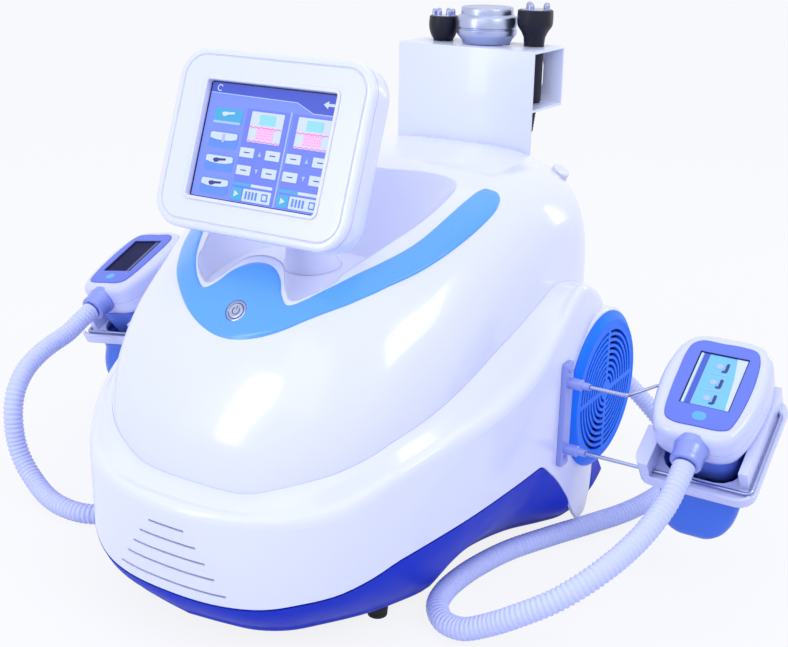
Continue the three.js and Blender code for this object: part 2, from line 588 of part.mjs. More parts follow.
function upperShell() {
  const bed = prism(bandOutline(FIT_GAP), ...BAND_SPAN).subtract(domeSolid(BED_FLOOR, BODY_END, DOME_FOOT));
  const capBoss = onCap(rod(FILL_CAP.boss, -FILL_CAP.depth, -FIT_GAP, FILL_CAP.sides));
  return dome.subtract(bed).subtract(pocketTool(0)).subtract(domeInside.subtract(pocketTool(WALL)))
    .subtract(underHood()).add(capBoss).subtract(rearCut).subtract(lower.translate([0, 0, FIT_GAP]))
    .subtract(onCap(rod(FILL_CAP.boss, -FIT_GAP, FILL_CAP.boss + FILL_CAP.depth, FILL_CAP.sides)))
    .subtract(buttonReach(BUTTON.barrel + FIT_GAP, BUTTON.cupFoot + BUTTON.cupFoot))
    .subtract(buttonReach(BUTTON.flange + FIT_GAP, BUTTON.seat))
    .subtract(onCap(rod(FILL_CAP.stem + FIT_GAP, -2 * FILL_CAP.depth, FILL_CAP.depth, FILL_CAP.sides)));
}

add('upper_shell', upperShell(), white);

const band = domeSolid(-BAND_PROUD, BODY_END, DOME_FOOT)
  .subtract(domeSolid(BAND_BED, BODY_END + WALL, DOME_FOOT_INNER))
  .intersect(prism(bandOutline(0), ...BAND_SPAN))
  .subtract(buttonReach(BUTTON.flange + FIT_GAP, BUTTON.cupFoot));
add('trim_band', band, trimBlue);

// Power button in its metal cup

const buttonCup = [[BUTTON.barrel, BUTTON.cupFoot], [BUTTON.barrel, BUTTON.seat + FIT_GAP],
  [BUTTON.flange, BUTTON.seat + FIT_GAP], [BUTTON.flange, BAND_PROUD], [BUTTON.rim, BUTTON.top],
  [BUTTON.bore, BUTTON.top],
  [BUTTON.bore, BUTTON.cupTop]];
add('button_bezel', onButton(lathe(buttonCup, BUTTON.sides)), steel);
add('power_button', onButton(rod(BUTTON.radius, BUTTON.foot, BUTTON.proud, BUTTON.sides)), aluminium);

// Base tray under the skirt

function polarOn(outline, plan) {
  const points = mirroredOutline(outline);
  return plan.map(([x, y]) => {
    const dir = new THREE.Vector2(x, y - BODY_WIDEST);
    for (let i = 0; i < points.length; i += 1) {
      const a = new THREE.Vector2(points[i][0], points[i][1] - BODY_WIDEST);
      const next = points[(i + 1) % points.length];
      const b = new THREE.Vector2(next[0], next[1] - BODY_WIDEST);
      const edge = b.clone().sub(a);
      const bottom = dir.cross(edge);
      const along = a.cross(edge) / bottom;
      const across = a.cross(dir) / bottom;
      if (along > 0 && across >= 0 && across < 1) return [dir.x * along, BODY_WIDEST + dir.y * along];
    }
    return [x, y];
  });
}

function baseTray() {
  const foot = polarOn(TRAY_OUTLINE, outerPlan);
  const stepPlan = bodyPlan(TRAY_STEP);
  const lapInner = bodyPlan(TRAY_STEP + TRAY_WALL);
  const leg = outerPlan.map(([, y]) => skirtEdge(y) < TRAY_LEG_LEVEL);
  const early = leg.map((value, i) => (
    value || leg[(i + 1) % leg.length] || leg[(i + leg.length - 1) % leg.length]));
  const edge = outerPlan.map((p, i) => (early[i] ? stepPlan[i] : p));
  const level = outerPlan.map(([, y]) => Math.max(skirtEdge(y) - LAP_SEAT_GAP, TRAY_LEG_LEVEL));
  const inward = (outline, by) => grown(outline, -by);
  const rings = TRAY_ROUND.map(([inset, z]) => atHeight(inward(foot, inset), z));
  rings[0] = atHeight(inward(foot, TRAY_ROUND[0][0]), TRAY_BOTTOM);
  TRAY_BULGE.forEach(([across, upward]) => rings.push(between(foot, edge, across).map(([x, y], i) => {
    const start = TRAY_ROUND[TRAY_ROUND.length - 1][1];
    return [x, y, start + (level[i] - start) * upward];
  })));
  rings.push(edge.map(([x, y], i) => [x, y, level[i]]));
  rings.push(stepPlan.map(([x, y], i) => [x, y, level[i]]));
  rings.push(stepPlan.map(([x, y], i) => [x, y, level[i] + TRAY_LIP]));
  rings.push(lapInner.map(([x, y], i) => [x, y, level[i] + TRAY_LIP]));
  rings.push(lapInner.map(([x, y], i) => [x, y, level[i] - TRAY_WALL]));
  const low = inward(foot, TRAY_WALL + TRAY_WALL);
  rings.push(low.map(([x, y]) => [x, y, TRAY_ROUND[2][1] + TRAY_WALL]));
  rings.push(atHeight(inward(foot, TRAY_ROUND[0][0]), TRAY_FLOOR));
  const cut = box(-FAR, FAR, TRAY_REAR, FAR, -FAR, FAR);
  return loft(rings).subtract(cut);
}

add('base_tray', baseTray(), baseBlue);

[['front', FOOT.frontX, FOOT.frontY], ['rear', FOOT.rearX, FOOT.rearY]].forEach(([name, x, y]) => {
  const foot = lathe([[FOOT.side, 0], [FOOT.radius, FOOT.height]], FOOT.sides);
  addPair(`foot_${name}`, foot.translate([x, y, 0]), rubber);
});

// Display unit on its tilt hinge

const lean = radians(TILT);
const screenOut = [0, -Math.cos(lean), Math.sin(lean)];
const screenUp = [0, Math.sin(lean), Math.cos(lean)];
const onScreen = (solid) => placed(solid, [1, 0, 0], screenUp, screenOut, DISPLAY_CENTRE);
const screenOutline = (less) => (
  rounded(SCREEN.width - less, SCREEN.height - less, SCREEN.corner - less / 2, SCREEN.steps));

function screenBack() {
  const rings = SCREEN_BACK_RINGS.map(([z, less]) => atHeight(screenOutline(less), z));
  rings.push(atHeight(screenOutline(0), SCREEN.front));
  const hollow = [...SCREEN_BACK_RINGS.slice(0, 3), [SCREEN.front, 0]]
    .map(([z, less]) => [z + SCREEN.wall, less + 2 * SCREEN.wall]);
  const inside = loft(hollow.map(([z, less]) => atHeight(screenOutline(less), z)));
  let ears = alongX(rod(HINGE.knuckle, HINGE.earInner, HINGE.earOuter, HINGE.sides), HINGE.y, HINGE.z);
  const down = (HINGE.y - DISPLAY_CENTRE[1]) * screenUp[1] + (HINGE.z - DISPLAY_CENTRE[2]) * screenUp[2];
  const back = (HINGE.y - DISPLAY_CENTRE[1]) * screenOut[1] + (HINGE.z - DISPLAY_CENTRE[2]) * screenOut[2];
  const arm = box(HINGE.earInner, HINGE.earOuter, down - HINGE.knuckle, down + HINGE.knuckle, back,
    SCREEN.back + OVERRUN);
  ears = ears.add(onScreen(arm));
  const pinHole = alongX(rod(HINGE.bore, -FAR, FAR, HINGE.sides), HINGE.y, HINGE.z);
  return onScreen(loft(rings).subtract(inside)).add(ears).add(mirrored(ears)).subtract(pinHole);
}

function screenBezel() {
  const plate = loft([[BEZEL.back, 0], [BEZEL.shoulder, 0], [BEZEL.face - BEZEL.round, BEZEL.ease],
    [BEZEL.face, BEZEL.edge]]
    .map(([z, less]) => atHeight(screenOutline(less), z)));
  const [w, h] = BEZEL.window;
  const rimOutline = rounded(w + 2 * BEZEL.rimWidth, h + 2 * BEZEL.rimWidth, BEZEL.corner + BEZEL.rimWidth,
    SMALL_CORNER_STEPS);
  const groove = prism(screenOutline(2 * BEZEL.groove), BEZEL.face - BEZEL.grooveDepth, BEZEL.face + OVERRUN)
    .subtract(prism(screenOutline(2 * (BEZEL.groove + BEZEL.grooveWidth)), BEZEL.back, BEZEL.rimTop));
  return onScreen(plate.add(prism(rimOutline, BEZEL.back, BEZEL.rimTop)).subtract(groove)
    .subtract(prism(rounded(w, h, BEZEL.corner, SMALL_CORNER_STEPS), BEZEL.back - OVERRUN,
      BEZEL.rimTop + OVERRUN)));
}

function pedestal() {
  const rings = PEDESTAL.map(([y, rise, rx, ry], k) => circle(1, 0, PEDESTAL_SIDES).map(([a, b]) => {
    const at = y + b * ry;
    const level = k === 0 ? lineAt(POCKET_LEVEL, at) + FIT_GAP : lineAt(POCKET_LEVEL, PEDESTAL[0][0]) + rise;
    return [a * rx, at, level];
  }));
  const knuckle = alongX(rod(HINGE.knuckle, -HINGE.half, HINGE.half, HINGE.sides), HINGE.y, HINGE.z);
  return loft(rings).add(knuckle).subtract(alongX(rod(HINGE.bore, -FAR, FAR, HINGE.sides), HINGE.y, HINGE.z));
}

const [windowWidth, windowHeight] = BEZEL.window;
add('screen_pedestal', pedestal(), white);
const hingePin = rod(HINGE.pin, -HINGE.earOuter, HINGE.earOuter, HINGE.sides);
add('hinge_pin', alongX(hingePin, HINGE.y, HINGE.z), steel);
add('screen_back', screenBack(), white);
add('screen_bezel', screenBezel(), white);
const glassOutline = rounded(windowWidth - 2 * FIT_GAP, windowHeight - 2 * FIT_GAP, BEZEL.corner,
  SMALL_CORNER_STEPS);
add('display_glass', onScreen(prism(glassOutline, GLASS.back, GLASS.front)), glass);

// Side grilles with their fans

function sector(outer, inner, steps, quarter) {
  const half = Math.PI / 4;
  const arc = (radius, from, to) => {
    const trim = Math.asin(DISC_SPOKE / 2 / radius) * Math.sign(to - from);
    return Array.from({ length: steps + 1 }, (_, i) => {
      const a = from + trim + (to - from - 2 * trim) * i / steps;
      return [radius * Math.cos(a), radius * Math.sin(a)];
    });
  };
  const middle = (quarter + 1 / 2) * Math.PI / 2;
  return [...arc(outer, middle - half, middle + half), ...arc(inner, middle + half, middle - half)];
}

function grille() {
  let disc = lathe([[DISC.radius, DISC.back], [DISC.faceRadius, DISC.face]], DISC.sides);
  DISC_SLOTS.forEach(([outer, inner, steps]) => {
    [0, 1, 2, 3].forEach((quarter) => {
      disc = disc.subtract(prism(sector(outer, inner, steps, quarter), DISC.back - POD.reach,
        DISC.face + POD.reach));
    });
  });
  return disc;
}

function fanFrame() {
  const ring = ringLathe([[FAN_FRAME.outer, FAN_FRAME.back], [FAN_FRAME.outer, FAN_FRAME.front],
    [FAN_FRAME.inner, FAN_FRAME.front], [FAN_FRAME.inner, FAN_FRAME.back]], DISC.sides);
  const long = FAN_FRAME.inner + OVERRUN;
  const arm = box(-long, long, -FAN_FRAME.spoke / 2, FAN_FRAME.spoke / 2, FAN_FRAME.back, FAN_FRAME.hubFront);
  return ring.add(arm)
    .add(rod(FAN_FRAME.hub, FAN_FRAME.back, FAN_FRAME.hubFront, FAN_ROTOR.sides));
}

function fanRotor() {
  let rotor = rod(FAN_ROTOR.hub, FAN_ROTOR.back, FAN_ROTOR.front, FAN_ROTOR.sides);
  const middle = (FAN_ROTOR.back + FAN_ROTOR.front) / 2;
  for (let i = 0; i < FAN_ROTOR.blades; i += 1) {
    const blade = box(FAN_ROTOR.hub - FAN_ROTOR.root, FAN_ROTOR.blade, -FAN_ROTOR.width / 2,
      FAN_ROTOR.width / 2, -FAN_ROTOR.thickness / 2, FAN_ROTOR.thickness / 2).rotate([FAN_ROTOR.pitch, 0, 0]);
    rotor = rotor.add(blade.translate([0, 0, middle]).rotate([0, 0, 360 * i / FAN_ROTOR.blades]));
  }
  return rotor;
}

addPair('fan_grille', onWall(grille(), DISC.y, DISC.z), grilleBlue);
addPair('fan_frame', onWall(fanFrame(), DISC.y, DISC.z), black);
addPair('fan_rotor', onWall(fanRotor(), DISC.y, DISC.z), black);

// Side applicators

function handFrame({ x, y, z, tilt, turn }) {
  const up = new THREE.Vector3(0, Math.cos(radians(tilt)), Math.sin(radians(tilt)));
  const level = new THREE.Vector3(0, -up.z, up.y);
  const [c, s] = [Math.cos(radians(turn)), Math.sin(radians(turn))];
  const across = new THREE.Vector3(c, 0, 0).addScaledVector(level, -s);
  const out = new THREE.Vector3(s, 0, 0).addScaledVector(level, c);
  const centre = new THREE.Vector3(BODY_HALF_WIDTH + x, y, z);
  const at = (u, v, off) => (
    centre.clone().addScaledVector(across, u).addScaledVector(up, v).addScaledVector(out, off));
  const on = (solid) => placed(solid, across.toArray(), up.toArray(), out.toArray(), centre.toArray());
  const along = (solid, off) => on(placed(solid, [1, 0, 0], [0, 0, 1], [0, -1, 0], [0, 0, off]));
  return { up, at, on, along };
}

const rightHand = handFrame(HAND_RIGHT);
const leftHand = handFrame(HAND_LEFT);

function addSides(name, make, material) {
  add(`${name}_right`, make(rightHand), material);
  add(`${name}_left`, mirrored(make(leftHand)), material);
}

function handShell(hand) {
  const outline = mirroredOutline([...HAND_HALF].reverse());
  const body = loft(HAND_RINGS.map(([off, inset]) => atHeight(grown(outline, -inset), off)))
    .translate([HAND_SHIFT, 0, 0]);
  const plug = rod(CONNECTOR.radius + FIT_GAP, -CONNECTOR.seat, -CONNECTOR.end, CONNECTOR.sides);
  const seat = hand.along(plug, CONNECTOR.off);
  const bed = prism(grown([...PANEL_OUTLINE].reverse(), FIT_GAP), PANEL.bed, PANEL.front + OVERRUN);
  return hand.on(body.subtract(bed)).subtract(seat);
}

function handPanel(hand) {
  const opening = box(-HAND_DISPLAY.width / 2 - FIT_GAP, HAND_DISPLAY.width / 2 + FIT_GAP,
    -HAND_DISPLAY.height / 2 - FIT_GAP, HAND_DISPLAY.height / 2 + FIT_GAP, PANEL.bed - OVERRUN,
    PANEL.front + OVERRUN);
  return hand.on(prism([...PANEL_OUTLINE].reverse(), PANEL.back, PANEL.front).subtract(opening));
}

function handCup(hand) {
  const middle = (HAND_CUP.back + HAND_CUP.front) / 2;
  const long = HAND_CUP.back - HAND_CUP.front;
  const slim = 2 * (HAND_CUP.halfTop - HAND_CUP.halfFoot);
  const ring = (less, z) => atHeight(
    rounded(2 * HAND_CUP.halfTop - less, long - less, HAND_CUP.corner - less / 4, CORNER_STEPS, 0, middle),
    z);
  const outer = loft([ring(0, HAND_CUP.top), ring(slim, HAND_CUP.foot)]);
  const inner = loft([ring(slim, HAND_CUP.floor), ring(slim + 2 * HAND_CUP.wall, HAND_CUP.foot - OVERRUN)]);
  return hand.on(outer.subtract(inner));
}

const handDisplay = box(-HAND_DISPLAY.width / 2, HAND_DISPLAY.width / 2, -HAND_DISPLAY.height / 2,
  HAND_DISPLAY.height / 2, HAND_DISPLAY.back, HAND_DISPLAY.front);
const connector = lathe([[CONNECTOR.radius, FIT_GAP - CONNECTOR.seat],
  [CONNECTOR.radius, -CONNECTOR.end - CONNECTOR.rim],
  [CONNECTOR.collar, -CONNECTOR.end]], CONNECTOR.sides);
addSides('applicator_shell', handShell, white);
addSides('applicator_panel', handPanel, panelBlue);
addSides('applicator_display', (hand) => hand.on(handDisplay), glass);
addSides('applicator_cup', handCup, cupBlue);
addSides('hose_connector', (hand) => hand.along(connector, CONNECTOR.off), aluminium);

// Cradle: bracket on the body wall, wire frame, tray and bowl

function rodPath(hand) {
  const rear = hand.at(ROD.inner, ROD.rear, ROD.off);
  const bed = BODY_HALF_WIDTH + BRACKET.bore + FIT_GAP;
  return roundedPath([
    new THREE.Vector3(bed, BRACKET.y, BRACKET.upper),
    new THREE.Vector3(rear.x, BRACKET.y, BRACKET.upper),
    rear,
    hand.at(ROD.outer, ROD.rear, ROD.off),
    hand.at(ROD.outer, ROD.front, ROD.off),
    hand.at(ROD.inner, ROD.front, ROD.off),
    new THREE.Vector3(BODY_HALF_WIDTH + BRACKET.tipEnd + ROD.lead, BRACKET.y, BRACKET.lower),
    new THREE.Vector3(bed, BRACKET.y, BRACKET.lower),
  ], ROD.bend, ROD.steps);
}

function bracket() {
  const base = box(BRACKET.bottom, BRACKET.top, -BRACKET.half, BRACKET.half, BRACKET.back, BRACKET.front);
  const post = lathe([[BRACKET.post, BRACKET.front - OVERRUN], [BRACKET.post, BRACKET.postEnd],
    [BRACKET.tip, BRACKET.tipEnd]], BRACKET.sides);
  const bore = rod(ROD.clear, BRACKET.bore, BRACKET.tipEnd + OVERRUN, ROD.sides);
  const origin = [BODY_HALF_WIDTH, BRACKET.y, 0];
  let plate = placed(base, [0, 0, 1], [0, -1, 0], [1, 0, 0], origin);
  [BRACKET.upper, BRACKET.lower].forEach((z) => {
    plate = plate.add(onWall(post, BRACKET.y, z)).subtract(onWall(bore, BRACKET.y, z));
  });
  return plate;
}

function cradleTray(hand) {
  const width = CRADLE.right - CRADLE.left;
  const long = CRADLE.rear - CRADLE.front;
  const cx = (CRADLE.right + CRADLE.left) / 2;
  const cy = (CRADLE.rear + CRADLE.front) / 2;
  const outline = rounded(width, long, CRADLE.corner, CORNER_STEPS, cx, cy);
  const plate = prism(outline, CRADLE.bottom, CRADLE.floor);
  const lip = prism(outline, CRADLE.bottom, CRADLE.lip)
    .subtract(prism(grown(outline, -CRADLE.lipWidth), CRADLE.floor, CRADLE.block));
  const frontOnly = box(CRADLE.left - OVERRUN, CRADLE.right + OVERRUN, CRADLE.front - OVERRUN,
    ROD.front - ROD.clear - OVERRUN, CRADLE.bottom - OVERRUN, CRADLE.block);
  let tray = plate.add(lip.intersect(frontOnly));
  CRADLE_BLOCKS.forEach(([u0, u1, v0, v1]) => {
    const cheek = box(u0, u1, v0, v1, CRADLE.bottom, CRADLE.block);
    tray = tray.add(cheek.intersect(prism(outline, CRADLE.bottom, 0)));
  });
  const openingLong = CRADLE_OPENING.rear - CRADLE_OPENING.front;
  const openingMiddle = (CRADLE_OPENING.rear + CRADLE_OPENING.front) / 2;
  const openingOutline = rounded(2 * CRADLE_OPENING.half, openingLong, CRADLE_OPENING.corner, CORNER_STEPS, 0,
    openingMiddle);
  const opening = prism(openingOutline, CRADLE.bottom - OVERRUN, CRADLE.block + OVERRUN);
  return hand.on(tray.subtract(opening)).subtract(bar(rodPath(hand), ROD.clear, ROD.sides));
}

function bowlRings(rings, shrink) {
  return loft(rings.map(([off, half, share, middle]) => {
    const across = half - shrink;
    const along = BOWL.half * share - shrink;
    const corner = Math.min(across, along) * BOWL.corner;
    return atHeight(rounded(2 * across, 2 * along, corner, BOWL.steps, 0, middle), off);
  }));
}

function cradleBowl(hand) {
  const outer = bowlRings(BOWL_RINGS, 0);
  const lift = BOWL_RINGS.map(() => 0);
  lift[0] = OVERRUN;
  lift[lift.length - 1] = BOWL.wall;
  const inside = BOWL_RINGS.map(([off, half, share, middle], i) => [off + lift[i], half, share, middle]);
  return hand.on(outer.subtract(bowlRings(inside, BOWL.wall)));
}

addPair('mount_bracket', bracket(), steel);
addSides('wire_frame', (hand) => bar(rodPath(hand), ROD.radius, ROD.sides), steel);
addSides('cradle_tray', cradleTray, white);
addSides('cradle_bowl', cradleBowl, cupBlue);

// Ribbed hoses: the surface of revolution follows a smooth route, with a straight bore through it

const glandEnd = new THREE.Vector3(GLAND.x, GLAND.end + FIT_GAP, GLAND.z);
const SHARED_ROUTE = [[202, -46, 12.5], [214, 0, 12.5], [239, 56, 12.5], [267, 112, 12.5], [291, 164, 12.5],
  [305, 214, 12.5], [311, 262, 12.5], [310, 304, 13], [301, 338, 17.5], [282, 364, 28], [254, 380, 47],
  [222, 383, 74], [192, 374, 103], [168, 353, 130], [154, 322, 147]];
const RIGHT_ROUTE = [[406, -38, 140.5], [397, -80, 120], [378, -131, 100], [348, -164, 76], [314, -178, 54],
  [283, -181, 34], [254, -181, 19], [226, -171, 13], [205, -148, 12.5], [197, -118, 12.5], [197, -82, 12.5]];
const LEFT_ROUTE = [[417, -60, 170], [415, -92, 164], [411, -121, 157], [406, -147, 146], [400, -167, 130],
  [395, -179, 109], [391, -184, 87], [386, -186, 65], [375, -188, 45], [352, -193, 27], [318, -202, 16],
  [284, -206, 12.8], [253, -202, 12.5], [227, -186, 12.5], [210, -160, 12.5], [201, -124, 12.5],
  [198, -86, 12.5]];

function hoseCurve(route, handEnd, handExit) {
  const start = handEnd.clone().addScaledVector(handExit, HOSE.straight);
  const finish = glandEnd.clone().add(new THREE.Vector3(0, HOSE.straight, 0));
  const middle = [...route, ...SHARED_ROUTE].map((p) => new THREE.Vector3(...p));
  return new THREE.CatmullRomCurve3([handEnd, start, ...middle, finish, glandEnd], false, 'centripetal');
}

function hose(route, hand) {
  const handEnd = hand.at(0, CONNECTOR.end - FIT_GAP, CONNECTOR.off);
  const handExit = hand.up.clone().negate();
  const curve = hoseCurve(route, handEnd, handExit);
  curve.arcLengthDivisions = 2000;
  const samples = curve.getSpacedPoints(2 * HOSE.ribs);
  samples.forEach((p) => { p.z = Math.max(p.z, HOSE.rest); });
  const pitch = samples[0].distanceTo(samples[1]);
  samples[1] = handEnd.clone().addScaledVector(handExit, pitch);
  samples[samples.length - 2] = glandEnd.clone().add(new THREE.Vector3(0, pitch, 0));
  const frames = pathFrames(samples);
  frames[0].up = new THREE.Vector3().crossVectors(handExit, frames[0].side);
  const rings = frames.map((frame, i) => ringAt(frame, i % 2 === 1 ? HOSE.crest : HOSE.root, HOSE.sides));
  const boreRings = frames.filter((_, i) => i % (2 * HOSE.boreEvery) === 0 || i === frames.length - 1)
    .map((frame) => ringAt(frame, HOSE.bore, HOSE.sides)).reverse();
  return loft([...rings, ...boreRings], true);
}

add('hose_right', hose(RIGHT_ROUTE, rightHand), hoseGrey);
add('hose_left', mirrored(hose(LEFT_ROUTE, leftHand)), hoseGrey);

// Rear panel with its fittings

function rearPanel() {
  const side = rearWidth(BODY_HALF_WIDTH, BODY_REAR_REACH, BODY_REAR_POWER, REAR_PLANE) - REAR_PANEL.inset;
  const hoodWidth = rearWidth(HOOD_HALF_WIDTH, HOOD_REAR_REACH, HOOD_REAR_POWER, REAR_PLANE);
  const hoodSide = hoodWidth - REAR_PANEL.inset;
  const low = hoodEdge(REAR_PLANE);
  const top = DOME_TOP - DOME_REAR_DROP - REAR_PANEL.inset;
  const half = [[0, REAR_PANEL.bottom], [REAR_PANEL.foot, REAR_PANEL.bottom], [side, skirtEdge(REAR_PLANE)],
    [side, rim(REAR_PLANE) - LEDGE_SHARES[0][1]]];
  for (let i = 0; i <= REAR_PANEL.arcSteps; i += 1) {
    const phi = Math.PI / 2 * i / REAR_PANEL.arcSteps;
    const x = i === REAR_PANEL.arcSteps ? 0 : hoodSide * power(Math.cos(phi), 2 / DOME_SIDE_POWER);
    half.push([x, low + (top - low) * power(Math.sin(phi), 2 / DOME_SIDE_POWER)]);
  }
  return prism(mirroredOutline(half), REAR_PANEL.front, REAR_PANEL.back);
}

const rearward = (solid) => placed(solid, [1, 0, 0], [0, 0, 1], [0, -1, 0], [0, 0, 0]).mirror([0, 1, 0]);
const upright = (x, z, width, height, y0, y1) => (
  box(x - width / 2, x + width / 2, y0, y1, z - height / 2, z + height / 2));
add('rear_panel', rearward(rearPanel()), white);
addPair('hose_gland', alongY(lathe([[GLAND.flange, GLAND.back], [GLAND.flange, GLAND.flangeEnd],
  [GLAND.body, GLAND.neck], [GLAND.body, GLAND.end]], GLAND.sides), GLAND.x, GLAND.z), black);
const switchGap = 2 * (SWITCH.half + FIT_GAP);
const inletCut = INLET.end + OVERRUN;
add('mains_inlet', upright(INLET.x, INLET.z, INLET.width, INLET.height, INLET.back, INLET.end)
  .subtract(upright(INLET.plugX, INLET.z, INLET.recess, INLET.recessHeight, INLET.floor, inletCut))
  .subtract(upright(SWITCH.x, SWITCH.z, switchGap, 2 * SWITCH.well, SWITCH.floor, inletCut)), black);
const rockerSection = [[SWITCH.edge, -SWITCH.height], [SWITCH.raised, -SWITCH.height], [SWITCH.middle, 0],
  [SWITCH.low, SWITCH.height], [SWITCH.edge, SWITCH.height], [SWITCH.back, 0]];
const rocker = prism(rockerSection, SWITCH.x - SWITCH.half, SWITCH.x + SWITCH.half);
add('rocker_switch', alongX(rocker, 0, SWITCH.z), black);

const stripFace = SOCKETS.back + SOCKETS.plate;
const collar = rod(SOCKETS.radius, stripFace - OVERRUN, stripFace + SOCKETS.reach, SOCKETS.sides);
const socketBore = rod(SOCKETS.bore, stripFace, stripFace + SOCKETS.reach + OVERRUN, SOCKETS.sides);
let strip = upright(0, SOCKETS.z, SOCKETS.width, SOCKETS.height, SOCKETS.back, stripFace);
[-SOCKETS.spacing, 0, SOCKETS.spacing].forEach((x) => {
  strip = strip.add(alongY(collar, x, SOCKETS.z)).subtract(alongY(socketBore, x, SOCKETS.z));
});
add('socket_strip', strip, aluminium);
add('fill_cap', onCap(lathe([[FILL_CAP.stem, -FILL_CAP.depth], [FILL_CAP.stem, 0], [FILL_CAP.radius, 0],
  [FILL_CAP.radius, FILL_CAP.height - FILL_CAP.edge], [FILL_CAP.radius - FILL_CAP.edge, FILL_CAP.height]],
FILL_CAP.sides)), white);

// Rack and the three applicators standing in it

function rack() {
  const { half, front, depth, bottom, sheet, window, holeSides } = RACK;
  const rear = front + depth;
  const [windowHalf, windowHigh, windowCorner] = window;
  let body = box(-half, half, front, front + sheet, bottom, RACK_TOP)
    .add(box(-half, half, front, rear, RACK_TOP - sheet, RACK_TOP))
    .add(box(-half, half, rear - sheet, rear, RACK_SHELF, RACK_TOP))
    .add(box(-half, half, front, rear, RACK_SHELF, SHELF_TOP));
  const middle = (RACK_SHELF + RACK_TOP) / 2;
  const opening = rounded(2 * windowHalf, windowHigh, windowCorner, CORNER_STEPS, 0, middle);
  body = body.subtract(rearward(prism(opening, rear - 2 * sheet, rear + sheet)));
  HEAD_ROW.forEach(([x, y], i) => {
    const hole = i === 1 ? CAV_HOLE : RF_HOLE;
    const above = rod(hole, RACK_TOP - 2 * sheet, RACK_TOP + sheet, holeSides);
    const below = rod(SHELF_HOLE, RACK_SHELF - sheet, SHELF_TOP + sheet, holeSides);
    body = body.subtract(above.translate([x, front + y, 0])).subtract(below.translate([x, front + y, 0]));
  });
  return body;
}

function electrodes(pins, z) {
  let set = rod(pins.disc, z - ELECTRODE_BED + FIT_GAP, z + OVERRUN, FOOT.sides);
  const pin = lathe([[pins.radius, z], [pins.radius, z + pins.height - pins.radius / 2],
    [pins.radius / 2, z + pins.height]], pins.sides);
  for (let i = 0; i < pins.count; i += 1) {
    const a = 2 * Math.PI * i / pins.count + Math.PI / 6;
    set = set.add(pin.translate([pins.ring * Math.cos(a), pins.ring * Math.sin(a), 0]));
  }
  return set;
}

function stylus(name, section, pins, [x, y]) {
  const [foot, boot, butt] = RF_BOOT_RADII;
  const head = section.map(([r, z]) => [r, RACK_TOP + z]);
  const z = head[head.length - 1][1];
  const lower = [[foot, SHELF_TOP + BOOT_FOOT], [boot, SHELF_TOP], [butt, SHELF_TOP + FIT_GAP]];
  const grip = lathe([...lower, ...head], FOOT.sides)
    .subtract(rod(pins.disc + FIT_GAP, z - ELECTRODE_BED, z + OVERRUN, FOOT.sides));
  add(`${name}_grip`, grip.translate([x, RACK.front + y, 0]), black);
  add(`${name}_electrodes`, electrodes(pins, z).translate([x, RACK.front + y, 0]), steel);
}

function roundApplicator([x, y]) {
  const levels = [SHELF_TOP + BOOT_FOOT, SHELF_TOP, SHELF_TOP + FIT_GAP, SHELF_TOP + CAV_SHOULDER,
    RACK_TOP + FIT_GAP];
  const grip = lathe(CAV_RADII.map((r, i) => [r, levels[i]]), CAV_SIDES);
  const head = lathe(CAV_HEAD.map(([r, z]) => [r, RACK_TOP + z]), CAV_SIDES);
  add('round_applicator_grip', grip.translate([x, RACK.front + y, 0]), black);
  add('round_applicator_head', head.translate([x, RACK.front + y, 0]), aluminium);
}

add('applicator_rack', rack(), white);
stylus('small_applicator', RF_LEFT, RF_LEFT_PINS, HEAD_ROW[0]);
stylus('large_applicator', RF_RIGHT, RF_RIGHT_PINS, HEAD_ROW[2]);
roundApplicator(HEAD_ROW[1]);

// Inner parts seated on the floor of the tray

const seat = TRAY_FLOOR + FIT_GAP;
add('coolant_tank', box(TANK[0], TANK[1], TANK[2], TANK[3], seat, TANK[4]), tankWhite);
add('power_supply', box(SUPPLY[0], SUPPLY[1], SUPPLY[2], SUPPLY[3], seat, SUPPLY[4]), greyMetal);
add('vacuum_pump', rod(PUMP.radius, seat, PUMP.height, PUMP.sides).translate([PUMP.x, PUMP.y, 0]), black);

export default part;
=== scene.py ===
import math

import bmesh
import bpy
import numpy as np
from mathutils import Matrix, Vector
from mathutils.bvhtree import BVHTree


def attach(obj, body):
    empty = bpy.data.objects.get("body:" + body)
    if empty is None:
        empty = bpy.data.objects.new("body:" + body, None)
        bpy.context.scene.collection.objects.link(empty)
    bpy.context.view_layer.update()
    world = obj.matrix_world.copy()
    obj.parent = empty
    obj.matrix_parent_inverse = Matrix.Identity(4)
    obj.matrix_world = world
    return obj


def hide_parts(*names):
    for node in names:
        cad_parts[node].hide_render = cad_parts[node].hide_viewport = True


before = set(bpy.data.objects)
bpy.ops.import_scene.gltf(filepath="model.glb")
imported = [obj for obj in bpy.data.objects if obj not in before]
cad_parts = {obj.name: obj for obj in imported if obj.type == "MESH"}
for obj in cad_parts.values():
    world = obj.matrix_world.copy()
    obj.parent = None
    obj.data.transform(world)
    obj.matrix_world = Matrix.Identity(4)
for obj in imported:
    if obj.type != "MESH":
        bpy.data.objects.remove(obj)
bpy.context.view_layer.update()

# Lengths below are in millimetres unless a name says otherwise; +X right, -Y front, +Z up
MM = 0.001
SIDES = ((1, "right"), (-1, "left"))
scene = bpy.context.scene

# Camera at the photograph's angle
VIEW_TURN, VIEW_RISE, VIEW_ROLL = (math.radians(a) for a in (31.635, 18.984, 0.909))
CAMERA_PLACE = (769.7, -1161.5, 727.7)
LENS, SENSOR = 57.1, 36.0


def linked(name, data):
    """New object in the scene."""
    ob = bpy.data.objects.new(name, data)
    scene.collection.objects.link(ob)
    return ob


